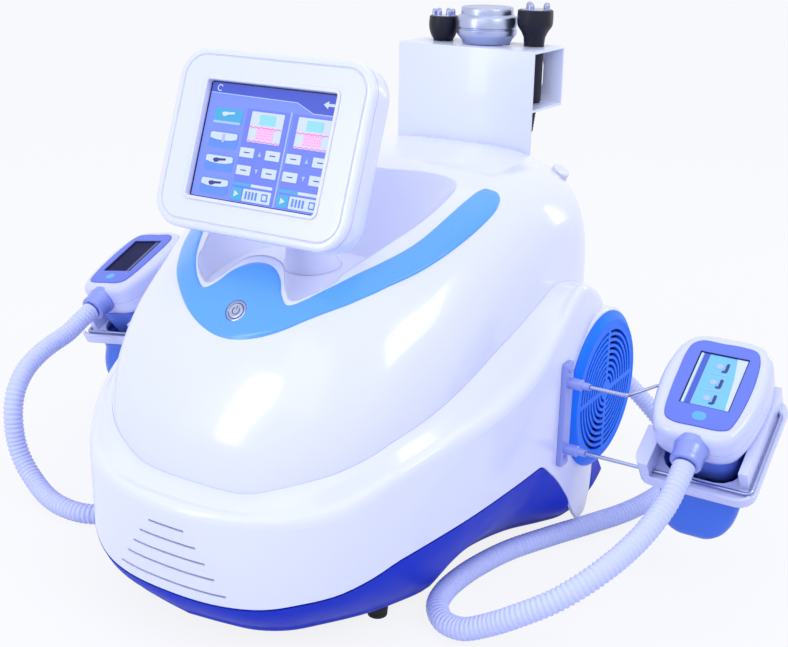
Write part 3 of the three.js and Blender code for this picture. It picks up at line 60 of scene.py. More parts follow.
scene.camera = linked("camera", bpy.data.cameras.new("camera"))
scene.camera.data.lens, scene.camera.data.sensor_width = LENS, SENSOR
scene.camera.data.clip_start, scene.camera.data.clip_end = 0.05, 50
scene.camera.matrix_world = (
    Matrix.Translation(Vector(CAMERA_PLACE) * MM) @ Matrix.Rotation(VIEW_TURN, 4, "Z")
    @ Matrix.Rotation(math.pi / 2 - VIEW_RISE, 4, "X") @ Matrix.Rotation(VIEW_ROLL, 4, "Z"))


# Shared helpers

def hermite(t):
    """Weights of a curve's start, start slope, end and end slope."""
    return 2 * t**3 - 3 * t**2 + 1, t**3 - 2 * t**2 + t, -2 * t**3 + 3 * t**2, t**3 - t**2


def unit_rows(rows):
    """Rows scaled to length one."""
    return rows / np.maximum(np.linalg.norm(rows, axis=1, keepdims=True), 1e-9)


def line_at(table, y):
    """Height line through pairs, with a smooth monotone curve between them."""
    t = np.asarray(table, float)
    x, v = t[:, 0], t[:, 1]
    h, slope = np.diff(x), np.diff(v) / np.diff(x)
    m = np.zeros(len(x))
    m[0], m[-1] = slope[0], slope[-1]
    for i in range(1, len(x) - 1):
        if slope[i - 1] * slope[i] > 0:
            w0, w1 = 2 * h[i] + h[i - 1], h[i] + 2 * h[i - 1]
            m[i] = (w0 + w1) / (w0 / slope[i - 1] + w1 / slope[i])
    y = np.clip(np.asarray(y, float), x[0], x[-1])
    k = np.clip(np.searchsorted(x, y) - 1, 0, len(h) - 1)
    w = hermite((y - x[k]) / h[k])
    return w[0] * v[k] + w[1] * h[k] * m[k] + w[2] * v[k + 1] + w[3] * h[k] * m[k + 1]


def smooth(points, per, closed=False):
    """Centripetal Catmull-Rom curve through points."""
    p = np.asarray(points, float)
    ends = (p[-1], p[0], p[1]) if closed else (2 * p[0] - p[1], 2 * p[-1] - p[-2])
    ext = np.vstack([ends[0], p, *ends[1:]])
    w = hermite(np.linspace(0, 1, per, endpoint=False)[:, None])
    out = []
    for i in range(1, len(ext) - 2):
        a, b, c, d = ext[i - 1:i + 3]
        d0, d1, d2 = (max(np.linalg.norm(v) ** 0.5, 1e-6) for v in (b - a, c - b, d - c))
        t1 = ((b - a) / d0 - (c - a) / (d0 + d1) + (c - b) / d1) * d1
        t2 = ((c - b) / d1 - (d - b) / (d1 + d2) + (d - c) / d2) * d1
        out.append(w[0] * b + w[1] * t1 + w[2] * c + w[3] * t2)
    return np.vstack(out) if closed else np.vstack([*out, p[-1]])


def spaced(points, count):
    """Points at equal steps along a line, and its length."""
    p = np.asarray(points, float)
    s = np.concatenate([[0], np.cumsum(np.linalg.norm(np.diff(p, axis=0), axis=1))])
    u = np.linspace(0, s[-1], count)
    return np.column_stack([np.interp(u, s, p[:, k]) for k in range(p.shape[1])]), s[-1]


def mirrored_outline(half):
    return [*half, *[(-x, y) for x, y in reversed(half[1:-1])]]


def ccw(outline):
    p = np.asarray(outline, float)
    area = np.sum(p[:, 0] * np.roll(p[:, 1], -1) - np.roll(p[:, 0], -1) * p[:, 1])
    return p if area > 0 else p[::-1]


def grown(outline, by):
    """Outline moved outward by a distance; points run counter-clockwise."""
    p = np.asarray(outline, float)
    d0, d1 = unit_rows(p - np.roll(p, 1, 0)), unit_rows(np.roll(p, -1, 0) - p)
    t = unit_rows(d0 + d1)
    k = by / np.maximum(0.5, np.sum(t * d0, axis=1))
    return p + np.column_stack([t[:, 1] * k, -t[:, 0] * k])


def rounded(width, height, corner, steps=12, cx=0, cy=0):
    pts = []
    for q, (sx, sy) in enumerate([(1, 1), (-1, 1), (-1, -1), (1, -1)]):
        for i in range(steps + 1):
            a = (q + i / steps) * math.pi / 2
            pts.append((cx + sx * (width / 2 - corner) + corner * math.cos(a),
                        cy + sy * (height / 2 - corner) + corner * math.sin(a)))
    return np.array(pts)


def circle(radius, sides):
    a = 2 * math.pi * np.arange(sides) / sides
    return np.column_stack([radius * np.cos(a), radius * np.sin(a)])


def at_height(outline, z):
    p = np.asarray(outline, float)
    return np.column_stack([p, np.broadcast_to(z, len(p))])


def loft(rings, closed=False):
    """Points and faces of a surface through rings of points."""
    rings = [np.asarray(r, float) for r in rings]
    n, count = len(rings[0]), len(rings)
    faces = []
    for r in range(count if closed else count - 1):
        a, b = r * n, (r + 1) % count * n
        for i in range(n):
            j = (i + 1) % n
            faces.append((a + i, a + j, b + j, b + i))
    if not closed:
        faces.append(tuple(range(n))[::-1])
        faces.append(tuple((count - 1) * n + i for i in range(n)))
    return np.vstack(rings), faces


def merged(*shapes):
    points, faces, base = [], [], 0
    for p, f in shapes:
        points.append(np.asarray(p, float))
        faces += [tuple(base + i for i in face) for face in f]
        base += len(p)
    return np.vstack(points), faces


def placed(shape, ex, ey, ez, origin):
    p, f = shape
    return np.asarray(p) @ np.array([ex, ey, ez], float) + np.asarray(origin, float), f


def moved(shape, x, y, z):
    return shape[0] + (x, y, z), shape[1]


def along_x(shape, x, y, z, side=1):
    return placed(shape, (0, side, 0), (0, 0, 1), (side, 0, 0), (x, y, z))


def along_y(shape, x, z):
    return placed(shape, (-1, 0, 0), (0, 0, 1), (0, 1, 0), (x, 0, z))


def mirrored(shape):
    p, f = shape
    return p * (-1, 1, 1), [face[::-1] for face in f]


def lathe(profile, sides=48):
    """Solid of revolution from pairs of radius and height."""
    return loft([at_height(circle(max(r, 0.01), sides), z) for r, z in profile])


def prism(outline, z0, z1, round_by=0):
    """Upright solid from z0 to z1, with its upper edge rounded where asked."""
    outline = ccw(outline)
    if not round_by:
        return loft([at_height(outline, z0), at_height(outline, z1)])
    arc = [(z1 - round_by + round_by * math.sin(a), round_by - round_by * math.cos(a))
           for a in np.linspace(0, math.pi / 2, 6)]
    return loft([at_height(grown(outline, -inset), z) for z, inset in ((z0, 0), *arc)])


def block(x0, x1, y0, y1, z0, z1):
    return prism([(x0, y0), (x1, y0), (x1, y1), (x0, y1)], z0, z1)


def behind(y):
    """Tool that takes away everything behind a plane."""
    return block(-600, 600, y, 600, -100, 900)


def mesh_from(name, shape):
    p, f = shape
    mesh = bpy.data.meshes.new(name)
    mesh.from_pydata([tuple(v) for v in np.asarray(p) * MM], [], f)
    bm = bmesh.new()
    bm.from_mesh(mesh)
    bmesh.ops.remove_doubles(bm, verts=bm.verts, dist=1e-6)
    bmesh.ops.dissolve_degenerate(bm, edges=bm.edges, dist=1e-7)
    bmesh.ops.recalc_face_normals(bm, faces=bm.faces)
    bm.to_mesh(mesh)
    bm.free()
    return mesh


def dressed(ob, body, nodes, angle):
    """Shade an object, attach it to its body, and hide the CAD nodes that it replaces."""
    ob.data.shade_smooth()
    ob.data.set_sharp_from_angle(angle=math.radians(angle))
    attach(ob, body)
    if nodes:
        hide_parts(*nodes)
    return ob


def piece(name, shape, material, body, nodes, cuts=(), angle=32):
    """New object from a shape; cuts are solids taken out of it."""
    ob = linked(name, mesh_from(name, shape))
    ob.data.materials.append(material)
    for cut in cuts:
        boolean(ob, cut)
    return dressed(ob, body, nodes, angle)


def applied(ob):
    bpy.context.view_layer.update()
    mesh = bpy.data.meshes.new_from_object(ob.evaluated_get(bpy.context.evaluated_depsgraph_get()))
    ob.modifiers.clear()
    ob.data = mesh


def boolean(ob, cut):
    tool = linked("tool", mesh_from("tool", cut))
    mod = ob.modifiers.new("cut", "BOOLEAN")
    mod.operation, mod.object, mod.solver = "DIFFERENCE", tool, "EXACT"
    applied(ob)
    bpy.data.objects.remove(tool)


def softened(part, material, body, width, segments=3):
    """Copy of a CAD node with its flat faces joined and its sharp edges rounded."""
    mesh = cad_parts[part].data.copy()
    bm = bmesh.new()
    bm.from_mesh(mesh)
    bmesh.ops.remove_doubles(bm, verts=bm.verts, dist=2e-6)
    bmesh.ops.dissolve_limit(bm, angle_limit=math.radians(1), verts=bm.verts, edges=bm.edges)
    bm.to_mesh(mesh)
    bm.free()
    mesh.materials.clear()
    mesh.materials.append(material)
    ob = linked(f"{part}_soft", mesh)
    mod = ob.modifiers.new("soft", "BEVEL")
    mod.width, mod.segments = width * MM, segments
    mod.limit_method, mod.angle_limit = "ANGLE", math.radians(35)
    mod.use_clamp_overlap = True
    applied(ob)
    dressed(ob, body, [part], 35)


# Materials: colour drift, fine relief, softened and slightly worn edges, all from nodes

def linear(rgb):
    return tuple(c / 12.92 if c <= 0.04045 else ((c + 0.055) / 1.055) ** 2.4 for c in (v / 255 for v in rgb))


def fill(tree, made, inputs):
    """Give a node's inputs plain values, or other nodes' outputs to link."""
    for key, value in inputs.items():
        if isinstance(value, bpy.types.NodeSocket):
            tree.links.new(value, made.inputs[key])
        else:
            made.inputs[key].default_value = value


def node(tree, kind, output, inputs=None, **settings):
    """Output of a new shader node."""
    made = tree.nodes.new(f"ShaderNode{kind}")
    for key, value in settings.items():
        setattr(made, key, value)
    fill(tree, made, inputs or {})
    return made.outputs[output]


def finish(name, rgb, rough, metal=0, drift=0.05, relief=0.02, bevel=0.8, wear=0.25, coat=0, specular=0.5,
           glow=0, brushed=(1, 1, 1)):
    mat = bpy.data.materials.new(name)
    mat.use_nodes = True
    tree, base = mat.node_tree, linear(rgb)
    place = node(tree, "TexCoord", "Object")
    stretched = node(tree, "Mapping", "Vector", {"Scale": brushed, "Vector": place})

    def noise(vector, scale, detail):
        return node(tree, "TexNoise", "Fac", {"Scale": scale, "Detail": detail, "Vector": vector})

    tint = node(tree, "Mix", "Result", {
        "A": (*[max(0, c * (1 - 2 * drift)) for c in base], 1), "B": (*[min(1, c * (1 + drift)) for c in base], 1),
        "Factor": noise(place, scale=7, detail=3)}, data_type="RGBA")
    soft = node(tree, "Bevel", "Normal", {"Radius": bevel * MM}, samples=4)
    facing = node(tree, "VectorMath", "Value", {0: soft, 1: node(tree, "NewGeometry", "Normal")},
                  operation="DOT_PRODUCT")
    edge = node(tree, "MapRange", "Result", {"Value": facing, "From Min": 0.97, "From Max": 0.75, "To Min": 0,
                                             "To Max": wear})
    patch = node(tree, "Math", "Value", {0: edge, 1: noise(place, scale=60, detail=4)}, operation="MULTIPLY")
    bump = {"Strength": relief, "Distance": 0.0004, "Height": noise(stretched, scale=900, detail=2),
            "Normal": soft}
    fill(tree, tree.nodes["Principled BSDF"], {
        "Base Color": node(tree, "Mix", "Result", {
            "A": tint, "B": (*linear([min(255, c + 35) for c in rgb]), 1), "Factor": patch}, data_type="RGBA"),
        "Roughness": node(tree, "MapRange", "Result", {
            "Value": noise(stretched, scale=35, detail=5), "To Min": max(0.02, rough * 0.85),
            "To Max": min(1, rough * 1.2)}),
        "Normal": node(tree, "Bump", "Normal", bump), "Metallic": metal, "Specular IOR Level": specular,
        "Coat Weight": coat, "Coat Roughness": 0.06,
        **({"Emission Color": tint, "Emission Strength": glow} if glow else {})})
    return mat


WHITE = finish("white_gloss", (229, 232, 253), 0.24, bevel=1.4, coat=0.3, drift=0.015, relief=0.012, wear=0.1)
HOOD = finish("hood_gloss", (229, 232, 253), 0.2, bevel=4, coat=0.4, drift=0.015, relief=0.01, wear=0.08)
BAND = finish("band_blue", (92, 168, 255), 0.28, coat=0.3, drift=0.03, specular=0.4)
DEEP = finish("deep_blue", (2, 46, 196), 0.5, bevel=1.5, specular=0.18)
GRILLE = finish("grille_blue", (24, 124, 255), 0.45, bevel=0.5, drift=0.04, relief=0.05, specular=0.2)
PANEL = finish("panel_film", (104, 124, 222), 0.42, bevel=0.3, drift=0.02, relief=0.06, specular=0.35)
# Painted shade: the bowl is white plastic, and this blue stands in for the shade that lies in it.
BOWL_PAINTED_SHADE = finish("cup_blue", (66, 116, 224), 0.32, bevel=1.2, coat=0.15, specular=0.35)
# Painted shade, lighter: the hand cup is white plastic, and this paler blue stands in for the shade on it where it is
# partly lit.
HAND_CUP_PAINTED_SHADE = finish("hand_cup_painted_shade", (110, 140, 238), 0.35, bevel=1.2, coat=0.15, specular=0.4)
STEEL = finish("polished_steel", (164, 172, 214), 0.2, metal=1, bevel=0.4)
SATIN = finish("satin_lavender", (150, 164, 236), 0.34, metal=0.35, bevel=0.6, relief=0.05)
ALU = finish("satin_aluminium", (180, 189, 222), 0.32, metal=1, bevel=0.5, relief=0.06,
             brushed=(1, 1, 30))
BLACK = finish("black_plastic", (12, 13, 36), 0.4, bevel=0.5, drift=0.1, relief=0.08, wear=0.3, specular=0.35)
SOCKET = finish("socket_dark", (8, 8, 12), 0.6, bevel=0.3, drift=0.1)
SHELL = finish("hand_shell_gloss", (212, 217, 250), 0.24, bevel=1, coat=0.3, drift=0.015, relief=0.012, wear=0.1)
RUBBER = finish("rubber", (18, 18, 22), 0.8, bevel=0.6, drift=0.1, relief=0.2)
HOSE = finish("hose_plastic", (208, 215, 255), 0.45, bevel=0.4, drift=0.04, relief=0.04, specular=0.4)
RACK = finish("rack_paint", (230, 235, 252), 0.3, coat=0.25, drift=0.02, relief=0.05)
TANK = finish("tank_plastic", (205, 222, 240), 0.45, bevel=1)
SHEET = finish("sheet_steel", (150, 156, 166), 0.4, metal=0.9, bevel=0.5, drift=0.08, brushed=(1, 40, 1))

# Body plan and height lines, as in the CAD model
# Plans: half width, front, exponent, and behind the widest line the reach and exponent
BODY = (250, -338, 2.45, 243, 3)
HOOD_PLAN = (213, -297, 3, 230, 3.8)
WIDEST, BODY_END, REAR_PLANE = 50, 262, 243
DOME_TOP, DOME_DROP, DOME_POWERS, DOME_TURN, DOME_ROWS = 446, 18, (1.75, 3.4), 4, 60
SKIRT_EDGE = [(-345, 56), (-320, 60), (-300, 67), (-275, 74), (-247, 86), (-218, 100), (-145, 116),
              (-60, 125), (-4, 127), (29, 106), (73, 63), (105, 22), (122, 10), (140, 10), (168, 28),
              (207, 73), (240, 85), (300, 90)]
RIM_LINE = [(-345, 157), (-305, 159), (-280, 164), (-228, 190), (-155, 213), (-100, 222), (-55, 232),
            (-9, 248), (38, 280), (72, 306), (95, 314), (134, 300), (160, 286), (200, 264), (243, 246),
            (300, 236)]
HOOD_LINE = [(-305, 164), (-297, 165), (-285, 178), (-274, 186), (-250, 197), (-223, 209), (-207, 217),
             (-150, 236), (-100, 254), (-50, 272), (0, 286), (50, 300), (90, 311), (134, 305), (180, 288),
             (243, 264), (300, 250)]
LEDGE = [(0, 9, 0), (0.05, 3.5, 0), (0.16, 0, 0), (0.42, 0, 2.5), (0.75, 0, 2.5)]
LEDGE_UNDER = [(0.75, 0, 2.5), (0.2, 0, 1), (0, 5, 0)]
WALL, LAP, LAP_GAP, LEDGE_EXTRA = 3.5, 12, 0.06, 0.5
FLANGE, FLANGE_THICK, SILL_GAP, LIP_ROUND = 6, 3, 0.6, 1.2
DISC_Y, DISC_Z, DISC_RADIUS, POD_RADIUS, POD_BORE, POD_FOOT = 154, 171, 95, 99.5, 75, -38


def remap(count):
    t = np.linspace(0, 1, count)
    return t**1.5 / (t**1.5 + (1 - t) ** 1.5)


FRONT_T = remap(64)
REAR_Y = np.linspace(WIDEST, REAR_PLANE, 40)[1:]


def rear_width(plan, y):
    return plan[0] * np.maximum(0, 1 - ((y - WIDEST) / plan[3]) ** plan[4]) ** (1 / plan[4])


def right_half(plan, inset=0.0):
    half, front, exponent = plan[0] - inset, plan[1] + inset, plan[2]
    a = math.pi / 2 * FRONT_T
    x = half * np.maximum(0, np.sin(a)) ** (2 / exponent)
    y = WIDEST - (WIDEST - front) * np.maximum(0, np.cos(a)) ** (2 / exponent)
    x[0] = 0
    rear = np.column_stack([rear_width(plan, REAR_Y) - inset, REAR_Y])
    cols = np.vstack([np.column_stack([x, y]), rear])
    return np.vstack([cols, [cols[-1][0], BODY_END - inset], [0, BODY_END - inset]])


def full_plan(plan, inset=0.0):
    return np.array(mirrored_outline(right_half(plan, inset)))


def hood_edge(y):
    return line_at(HOOD_LINE, y)


def lifted(plan, height):
    return np.column_stack([plan, height(plan[:, 1])])


def ledge_rows(table, rim_plan, seat, count, extra):
    """Rings from the rim to the seat; the table gives share and two drops of each row."""
    shares = np.array([row[0] for row in table])
    order = np.argsort(shares)
    low, high = line_at(RIM_LINE, rim_plan[:, 1]), hood_edge(seat[:, 1])
    rows = []
    for t in np.linspace(0, 1, count):
        share = shares[0] + (shares[-1] - shares[0]) * (t**1.6 if shares[0] == 0 else t)
        drop = extra + sum(line_at([(table[i][0], table[i][k]) for i in order], share) for k in (1, 2))
        rows.append(np.column_stack([rim_plan + (seat - rim_plan) * share,
                                     low + (high - low) * share * share * (3 - 2 * share) - drop]))
    return rows


REAR_CUT = behind(REAR_PLANE)


def at_disc(shape, side):
    """Shape around the fan's axis, on one side of the machine."""
    return along_x(shape, side * BODY[0], DISC_Y, DISC_Z, side)


def lower_shell():
    outer, inner = full_plan(BODY), full_plan(BODY, WALL)
    seat, under = full_plan(HOOD_PLAN, -LAP_GAP), full_plan(HOOD_PLAN, -WALL - LAP_GAP)
    flange = full_plan(HOOD_PLAN, FLANGE)
    skirt = lambda y: line_at(SKIRT_EDGE, y)
    sill = lambda y: hood_edge(y) - LAP - SILL_GAP
    rings = [lifted(outer, lambda y: skirt(y) + LIP_ROUND), *ledge_rows(LEDGE, outer, seat, 22, 0),
             lifted(seat, lambda y: hood_edge(y) - SILL_GAP), lifted(seat, sill), lifted(flange, sill),
             lifted(flange, lambda y: sill(y) - FLANGE_THICK), lifted(under, lambda y: sill(y) - FLANGE_THICK),
             *ledge_rows(LEDGE_UNDER, inner, under, 8, WALL + LEDGE_EXTRA), lifted(inner, skirt),
             lifted(full_plan(BODY, LIP_ROUND), skirt)]
    return loft(rings, closed=True)


def pod(side):
    r, bore, soft = POD_RADIUS, POD_BORE, 5
    edge = [(r - soft + soft * math.cos(a), soft * math.sin(a) - soft) for a in np.linspace(0, math.pi / 2, 7)]
    profile = [(bore, POD_FOOT), (r, POD_FOOT), *edge, (bore + 0.8, 0), (bore, -0.8)]
    shape = loft([at_height(circle(r, 96), z) for r, z in profile], closed=True)
    return at_disc(shape, side)


SLOT_HIGH, SLOT_CORNER = 2.2, 1.05
SLOTS = [(22.7, 131.5), (36.3, 116.4), (46.8, 101.3), (57, 86.3), (69.1, 69.8)]


def slot_tool():
    return merged(*[placed(prism(rounded(2 * half, SLOT_HIGH, SLOT_CORNER, 6), -60, 60), (1, 0, 0), (0, 0, 1),
                           (0, -1, 0), (0, BODY[1], z)) for half, z in SLOTS])


fan_holes = [at_disc(lathe([(r, z0), (r, 60)], 96), side) for side, _ in SIDES
             for r, z0 in ((POD_RADIUS - 2, -37), (POD_BORE, -78))]
piece("lower_shell_body", lower_shell(), WHITE, "machine", ["lower_shell"],
      [REAR_CUT, slot_tool(), *fan_holes])
for side, label in SIDES:
    piece(f"fan_pod_{label}", pod(side), WHITE, "machine", (), [REAR_CUT])


# Hood: dome over the hood plan with the pocket cut into it

def dome():
    cols = right_half(HOOD_PLAN)[:-2]
    cols = np.vstack([cols, [cols[-1][0], BODY_END]])
    n_front = len(FRONT_T)
    x, y = cols[:, 0], cols[:, 1]
    angle = np.concatenate([math.pi / 2 * FRONT_T, np.full(len(cols) - n_front, math.pi / 2)])
    turn = np.maximum(0, 1 - np.cos(angle)) ** DOME_TURN
    curl = 2 / (DOME_POWERS[0] + (DOME_POWERS[1] - DOME_POWERS[0]) * turn)
    back = np.maximum(0, (y - WIDEST) / (REAR_PLANE - WIDEST))
    top = DOME_TOP - DOME_DROP * np.minimum(1, back * back)
    edge = hood_edge(y)
    grid = [np.column_stack([x, y, edge - LAP])]
    for phi in math.pi / 2 * remap(DOME_ROWS):
        shrink = max(0.0, math.cos(phi)) ** curl if phi < math.pi / 2 - 1e-9 else np.zeros(len(x))
        z = edge + (top - edge) * math.sin(phi) ** curl
        yy = np.where(np.arange(len(y)) < n_front, WIDEST + (y - WIDEST) * shrink, y)
        grid.append(np.column_stack([x * shrink, yy, z]))
    grid = np.array(grid)
    rows_n, n = grid.shape[:2]
    points = np.vstack([grid.reshape(-1, 3), (grid * (-1, 1, 1)).reshape(-1, 3)])
    half = rows_n * n
    faces = []
    for r in range(rows_n - 1):
        for c in range(n - 1):
            q = (r * n + c, r * n + c + 1, (r + 1) * n + c + 1, (r + 1) * n + c)
            faces += [q, tuple(half + i for i in reversed(q))]
        faces.append((r * n + n - 1, half + r * n + n - 1, half + (r + 1) * n + n - 1, (r + 1) * n + n - 1))
    for c in range(n - 1):
        faces.append((c + 1, c, half + c, half + c + 1))
    return points, faces


POCKET_FLOOR = [(0, -166), (24, -171), (40, -188), (53, -197), (67, -188), (80, -160), (89, -112),
                (86, -72), (66, -46), (34, -36), (0, -34)]
POCKET_EDGE = [(0, -164), (24, -170), (40, -188), (54, -198), (72, -188), (97, -156), (121, -92),
               (135, -26), (132, 12), (60, 1), (0, -8)]
POCKET_LEVEL = [(-200, 331), (-34, 344)]
POCKET_EDGE_Z = [(-200, 338), (-170, 356), (-156, 380), (-92, 404), (-36, 420), (12, 440)]
POCKET_TOP = 480


def pocket():
    floor = smooth(mirrored_outline(POCKET_FLOOR), 8, True)
    edge = smooth(mirrored_outline(POCKET_EDGE), 8, True)
    z0 = line_at(POCKET_LEVEL, floor[:, 1])
    t = (POCKET_TOP - z0) / (line_at(POCKET_EDGE_Z, edge[:, 1]) - z0)
    rings = [np.column_stack([floor, z0])]
    for k in np.linspace(0.06, 1, 8):
        rings.append(np.column_stack([floor + (edge - floor) * (t * k)[:, None], z0 + (POCKET_TOP - z0) * k]))
    return loft(rings)


BAND_OUTER = [(0, -240), (30, -236), (62, -223), (86, -207), (107, -187), (124, -163), (140, -134),
              (154, -103), (166, -70), (174, -38), (177, -8), (176, 12), (171, 27), (162, 33)]
BAND_INNER = [(0, -170), (16, -173), (30, -182), (41, -196), (53, -203), (68, -196), (88, -175),
              (103, -151), (120, -119), (134, -81), (144, -38), (148, -8), (150, 12), (153, 26)]
BAND_SUNK, BAND_PROUD, BAND_THICK, BAND_STEPS, BAND_ACROSS, BAND_ROUND = 1.2, 2, 3, 260, 21, 0.45
BAND_EDGE, BAND_TIP = 0.08, 9
CAP_PLACE, CAP_TILT = (150, 222, 407), math.radians(35)


def on_cap(shape):
    s, c = math.sin(CAP_TILT), math.cos(CAP_TILT)
    return placed(shape, (c, 0, -s), (0, 1, 0), (s, 0, c), CAP_PLACE)


DOME = dome()
piece("hood", DOME, HOOD, "machine", ["upper_shell"], [REAR_CUT, pocket()], 28)
piece("cap_boss", on_cap(lathe([(13, -9), (13, -1.2), (12.2, -0.4), (7.4, -0.4), (7.4, -8)])), WHITE, "machine",
      ())


def trim_band():
    """Strip that lies on the dome and stands proud of it, with rounded edges."""
    tree = BVHTree.FromPolygons([Vector(v) for v in DOME[0]], DOME[1])
    full = lambda half: smooth([(-x, y) for x, y in half[:0:-1]] + list(half), 14)
    outer, inner = (spaced(full(half), BAND_STEPS)[0] for half in (BAND_OUTER, BAND_INNER))
    across = np.linspace(0, 1, BAND_ACROSS)
    rise = (BAND_SUNK + BAND_PROUD) * np.clip(np.minimum(across, 1 - across) / BAND_EDGE, 0, 1) ** BAND_ROUND
    rings = []
    for i in range(len(outer)):
        tip = min(i, len(outer) - 1 - i) / BAND_TIP
        lift = rise * min(1, tip) ** BAND_ROUND - BAND_SUNK
        top, under = [], []
        for share, height in zip(across, lift):
            x, y = outer[i] + (inner[i] - outer[i]) * share
            hit, normal, *_ = tree.ray_cast(Vector((x, y, DOME_TOP + 1)), Vector((0, 0, -1)))
            top.append(np.array(hit + (-normal if normal.z < 0 else normal) * float(height)))
            under.append(np.array(hit - Vector((0, 0, BAND_THICK))))
        rings.append([*top, *reversed(under)])
    return loft(rings)


BUTTON_PLACE, BUTTON_SLOPE = (0, -217, 322), 42
BUTTON_OUT = (0, -math.sin(math.radians(90 - BUTTON_SLOPE)), math.sin(math.radians(BUTTON_SLOPE)))
BUTTON_UP = (0, BUTTON_OUT[2], -BUTTON_OUT[1])


def on_button(shape):
    return placed(shape, (1, 0, 0), BUTTON_UP, BUTTON_OUT, BUTTON_PLACE)


piece("trim_band_strip", trim_band(), BAND, "machine", ["trim_band"],
      [on_button(lathe([(12.2, -20), (12.2, 20)], 64))], 40)
piece("button_ring", on_button(loft([at_height(circle(r, 64), z) for r, z in [
    (10, -14), (10, -2), (12, -2), (12, 2), (11.7, 2.7), (11.2, 3), (9.2, 3), (8.8, 2.6), (8.7, 2), (8.7, -11.8)]])),
    STEEL, "machine", ["button_bezel"])
mark_ends = (0.7, 2 * math.pi - 0.7)
arc = [(r * math.sin(a), r * math.cos(a)) for r, ends in ((4.6, mark_ends), (3.7, mark_ends[::-1]))
       for a in np.linspace(*ends, 26)]
piece("button_cap", on_button(lathe([(8.4, -10), (8.4, 2.6), (8.1, 3.2), (7.6, 3.5), (6.6, 3.5), (6.3, 3.2), (6, 3.2)],
                                    64)), ALU, "button", ["power_button"])
piece("button_mark", on_button(merged(prism(arc, 3, 3.42), prism(rounded(0.9, 4.4, 0.4, 4, 0, 3.6), 3, 3.42))),
      finish("mark_grey", (70, 84, 130), 0.4, drift=0.03), "button", ())

# Base tray
TRAY_SHARES = [(0, -314), (0.18, -308), (0.32, -300), (0.44, -281), (0.532, -251), (0.632, -212),
               (0.696, -175), (0.744, -135), (0.736, -106), (0.72, -65), (0.724, -25), (0.788, 30),
               (0.888, 72), (0.944, 100), (0.956, 140), (0.944, 190), (0.888, 262), (0.48, 262), (0, 262)]
TRAY_RISE = [(0, 0), (0.5, 0.38), (0.85, 0.75), (1, 1)]
TRAY_ROUND, TRAY_FLOOR = [(16, 14), (10, 14.6), (5, 17), (1.5, 20.5)], 18
TRAY_FLUSH, TRAY_BLEND, TRAY_LOWEST = 52, 16, 34
TRAY_STEP, TRAY_WALL, TRAY_LIP, TRAY_START, TRAY_REAR = 4.5, 3.8, 10, 24, 240


def polar_on(outline, plan):
    """Where rays from the plan's middle through its points meet an outline."""
    a = np.asarray(outline, float) - (0, WIDEST)
    edge = np.roll(a, -1, 0) - a
    out = []
    for x, y in plan:
        d = np.array([x, y - WIDEST])
        bottom = d[0] * edge[:, 1] - d[1] * edge[:, 0]
        bottom[np.abs(bottom) < 1e-12] = 1e-12
        along = (a[:, 0] * edge[:, 1] - a[:, 1] * edge[:, 0]) / bottom
        across = (a[:, 0] * d[1] - a[:, 1] * d[0]) / bottom
        ok = (along > 0) & (across >= -1e-9) & (across < 1 + 1e-9)
        out.append(d * along[ok][0] + (0, WIDEST) if ok.any() else (x, y))
    return np.array(out)


def base_tray():
    half = [(s * BODY[0], y) for s, y in TRAY_SHARES]
    outer = full_plan(BODY)
    foot = polar_on(mirrored_outline([*smooth(half[:-2], 6), *half[-2:]]), outer)
    skirt = line_at(SKIRT_EDGE, outer[:, 1])
    t = np.clip((TRAY_FLUSH - skirt) / TRAY_BLEND, 0, 1)[:, None]
    step, lap = full_plan(BODY, TRAY_STEP), full_plan(BODY, TRAY_STEP + TRAY_WALL)
    edge = outer + (step - outer) * (t * t * (3 - 2 * t))
    level = np.maximum(skirt - 0.6, TRAY_LOWEST)
    inward = lambda by: grown(foot, -by)
    rings = [*[at_height(inward(by), z) for by, z in TRAY_ROUND], at_height(foot, TRAY_START)]
    for s in np.linspace(0, 1, 18)[1:]:
        up = float(line_at(TRAY_RISE, s))
        rings.append(np.column_stack([foot + (edge - foot) * s, TRAY_START + (level - TRAY_START) * up]))
    rings += [np.column_stack([step, level]), np.column_stack([step, level + TRAY_LIP]),
              np.column_stack([lap, level + TRAY_LIP]), np.column_stack([lap, level - TRAY_WALL]),
              at_height(inward(2 * TRAY_WALL), TRAY_START + TRAY_WALL),
              at_height(inward(TRAY_ROUND[0][0]), TRAY_FLOOR)]
    return loft(rings)


piece("base_tray_shell", base_tray(), DEEP, "machine", ["base_tray"],
      [behind(TRAY_REAR)], 40)
FOOT_X = 150
for place, y in (("front", -180), ("rear", 200)):
    for side, label in SIDES:
        foot = lathe([(9.5, 0), (10.5, 0.8), (10.7, 2), (10.9, 4.5), (10.3, 5), (10.9, 5.5), (12, 13.7)], 40)
        piece(f"foot_pad_{place}_{label}", moved(foot, side * FOOT_X, y, 0), RUBBER, "machine",
              [f"foot_{place}_{label}"])

# Display unit
LEAN = math.radians(20.8)
SCREEN_OUT = (0, -math.cos(LEAN), math.sin(LEAN))
SCREEN_UP = (0, math.sin(LEAN), math.cos(LEAN))
CENTRE = (0, -173, 486)
HINGE, EAR_X = (-136, 417), 22.2
SCREEN, SCREEN_CORNER, ACTIVE = (243, 190), 34, (162, 121.5)


def on_screen(shape):
    return placed(shape, (1, 0, 0), SCREEN_UP, SCREEN_OUT, CENTRE)


def screen_outline(less):
    return rounded(SCREEN[0] - less, SCREEN[1] - less, max(2, SCREEN_CORNER - less / 2), 16)


def screen_back():
    profile = smooth([(-46, 44), (-44.6, 36), (-40, 16), (-31, 4), (-20, 0), (-6.3, 0)], 5)
    return loft([at_height(screen_outline(less), z) for z, less in profile])


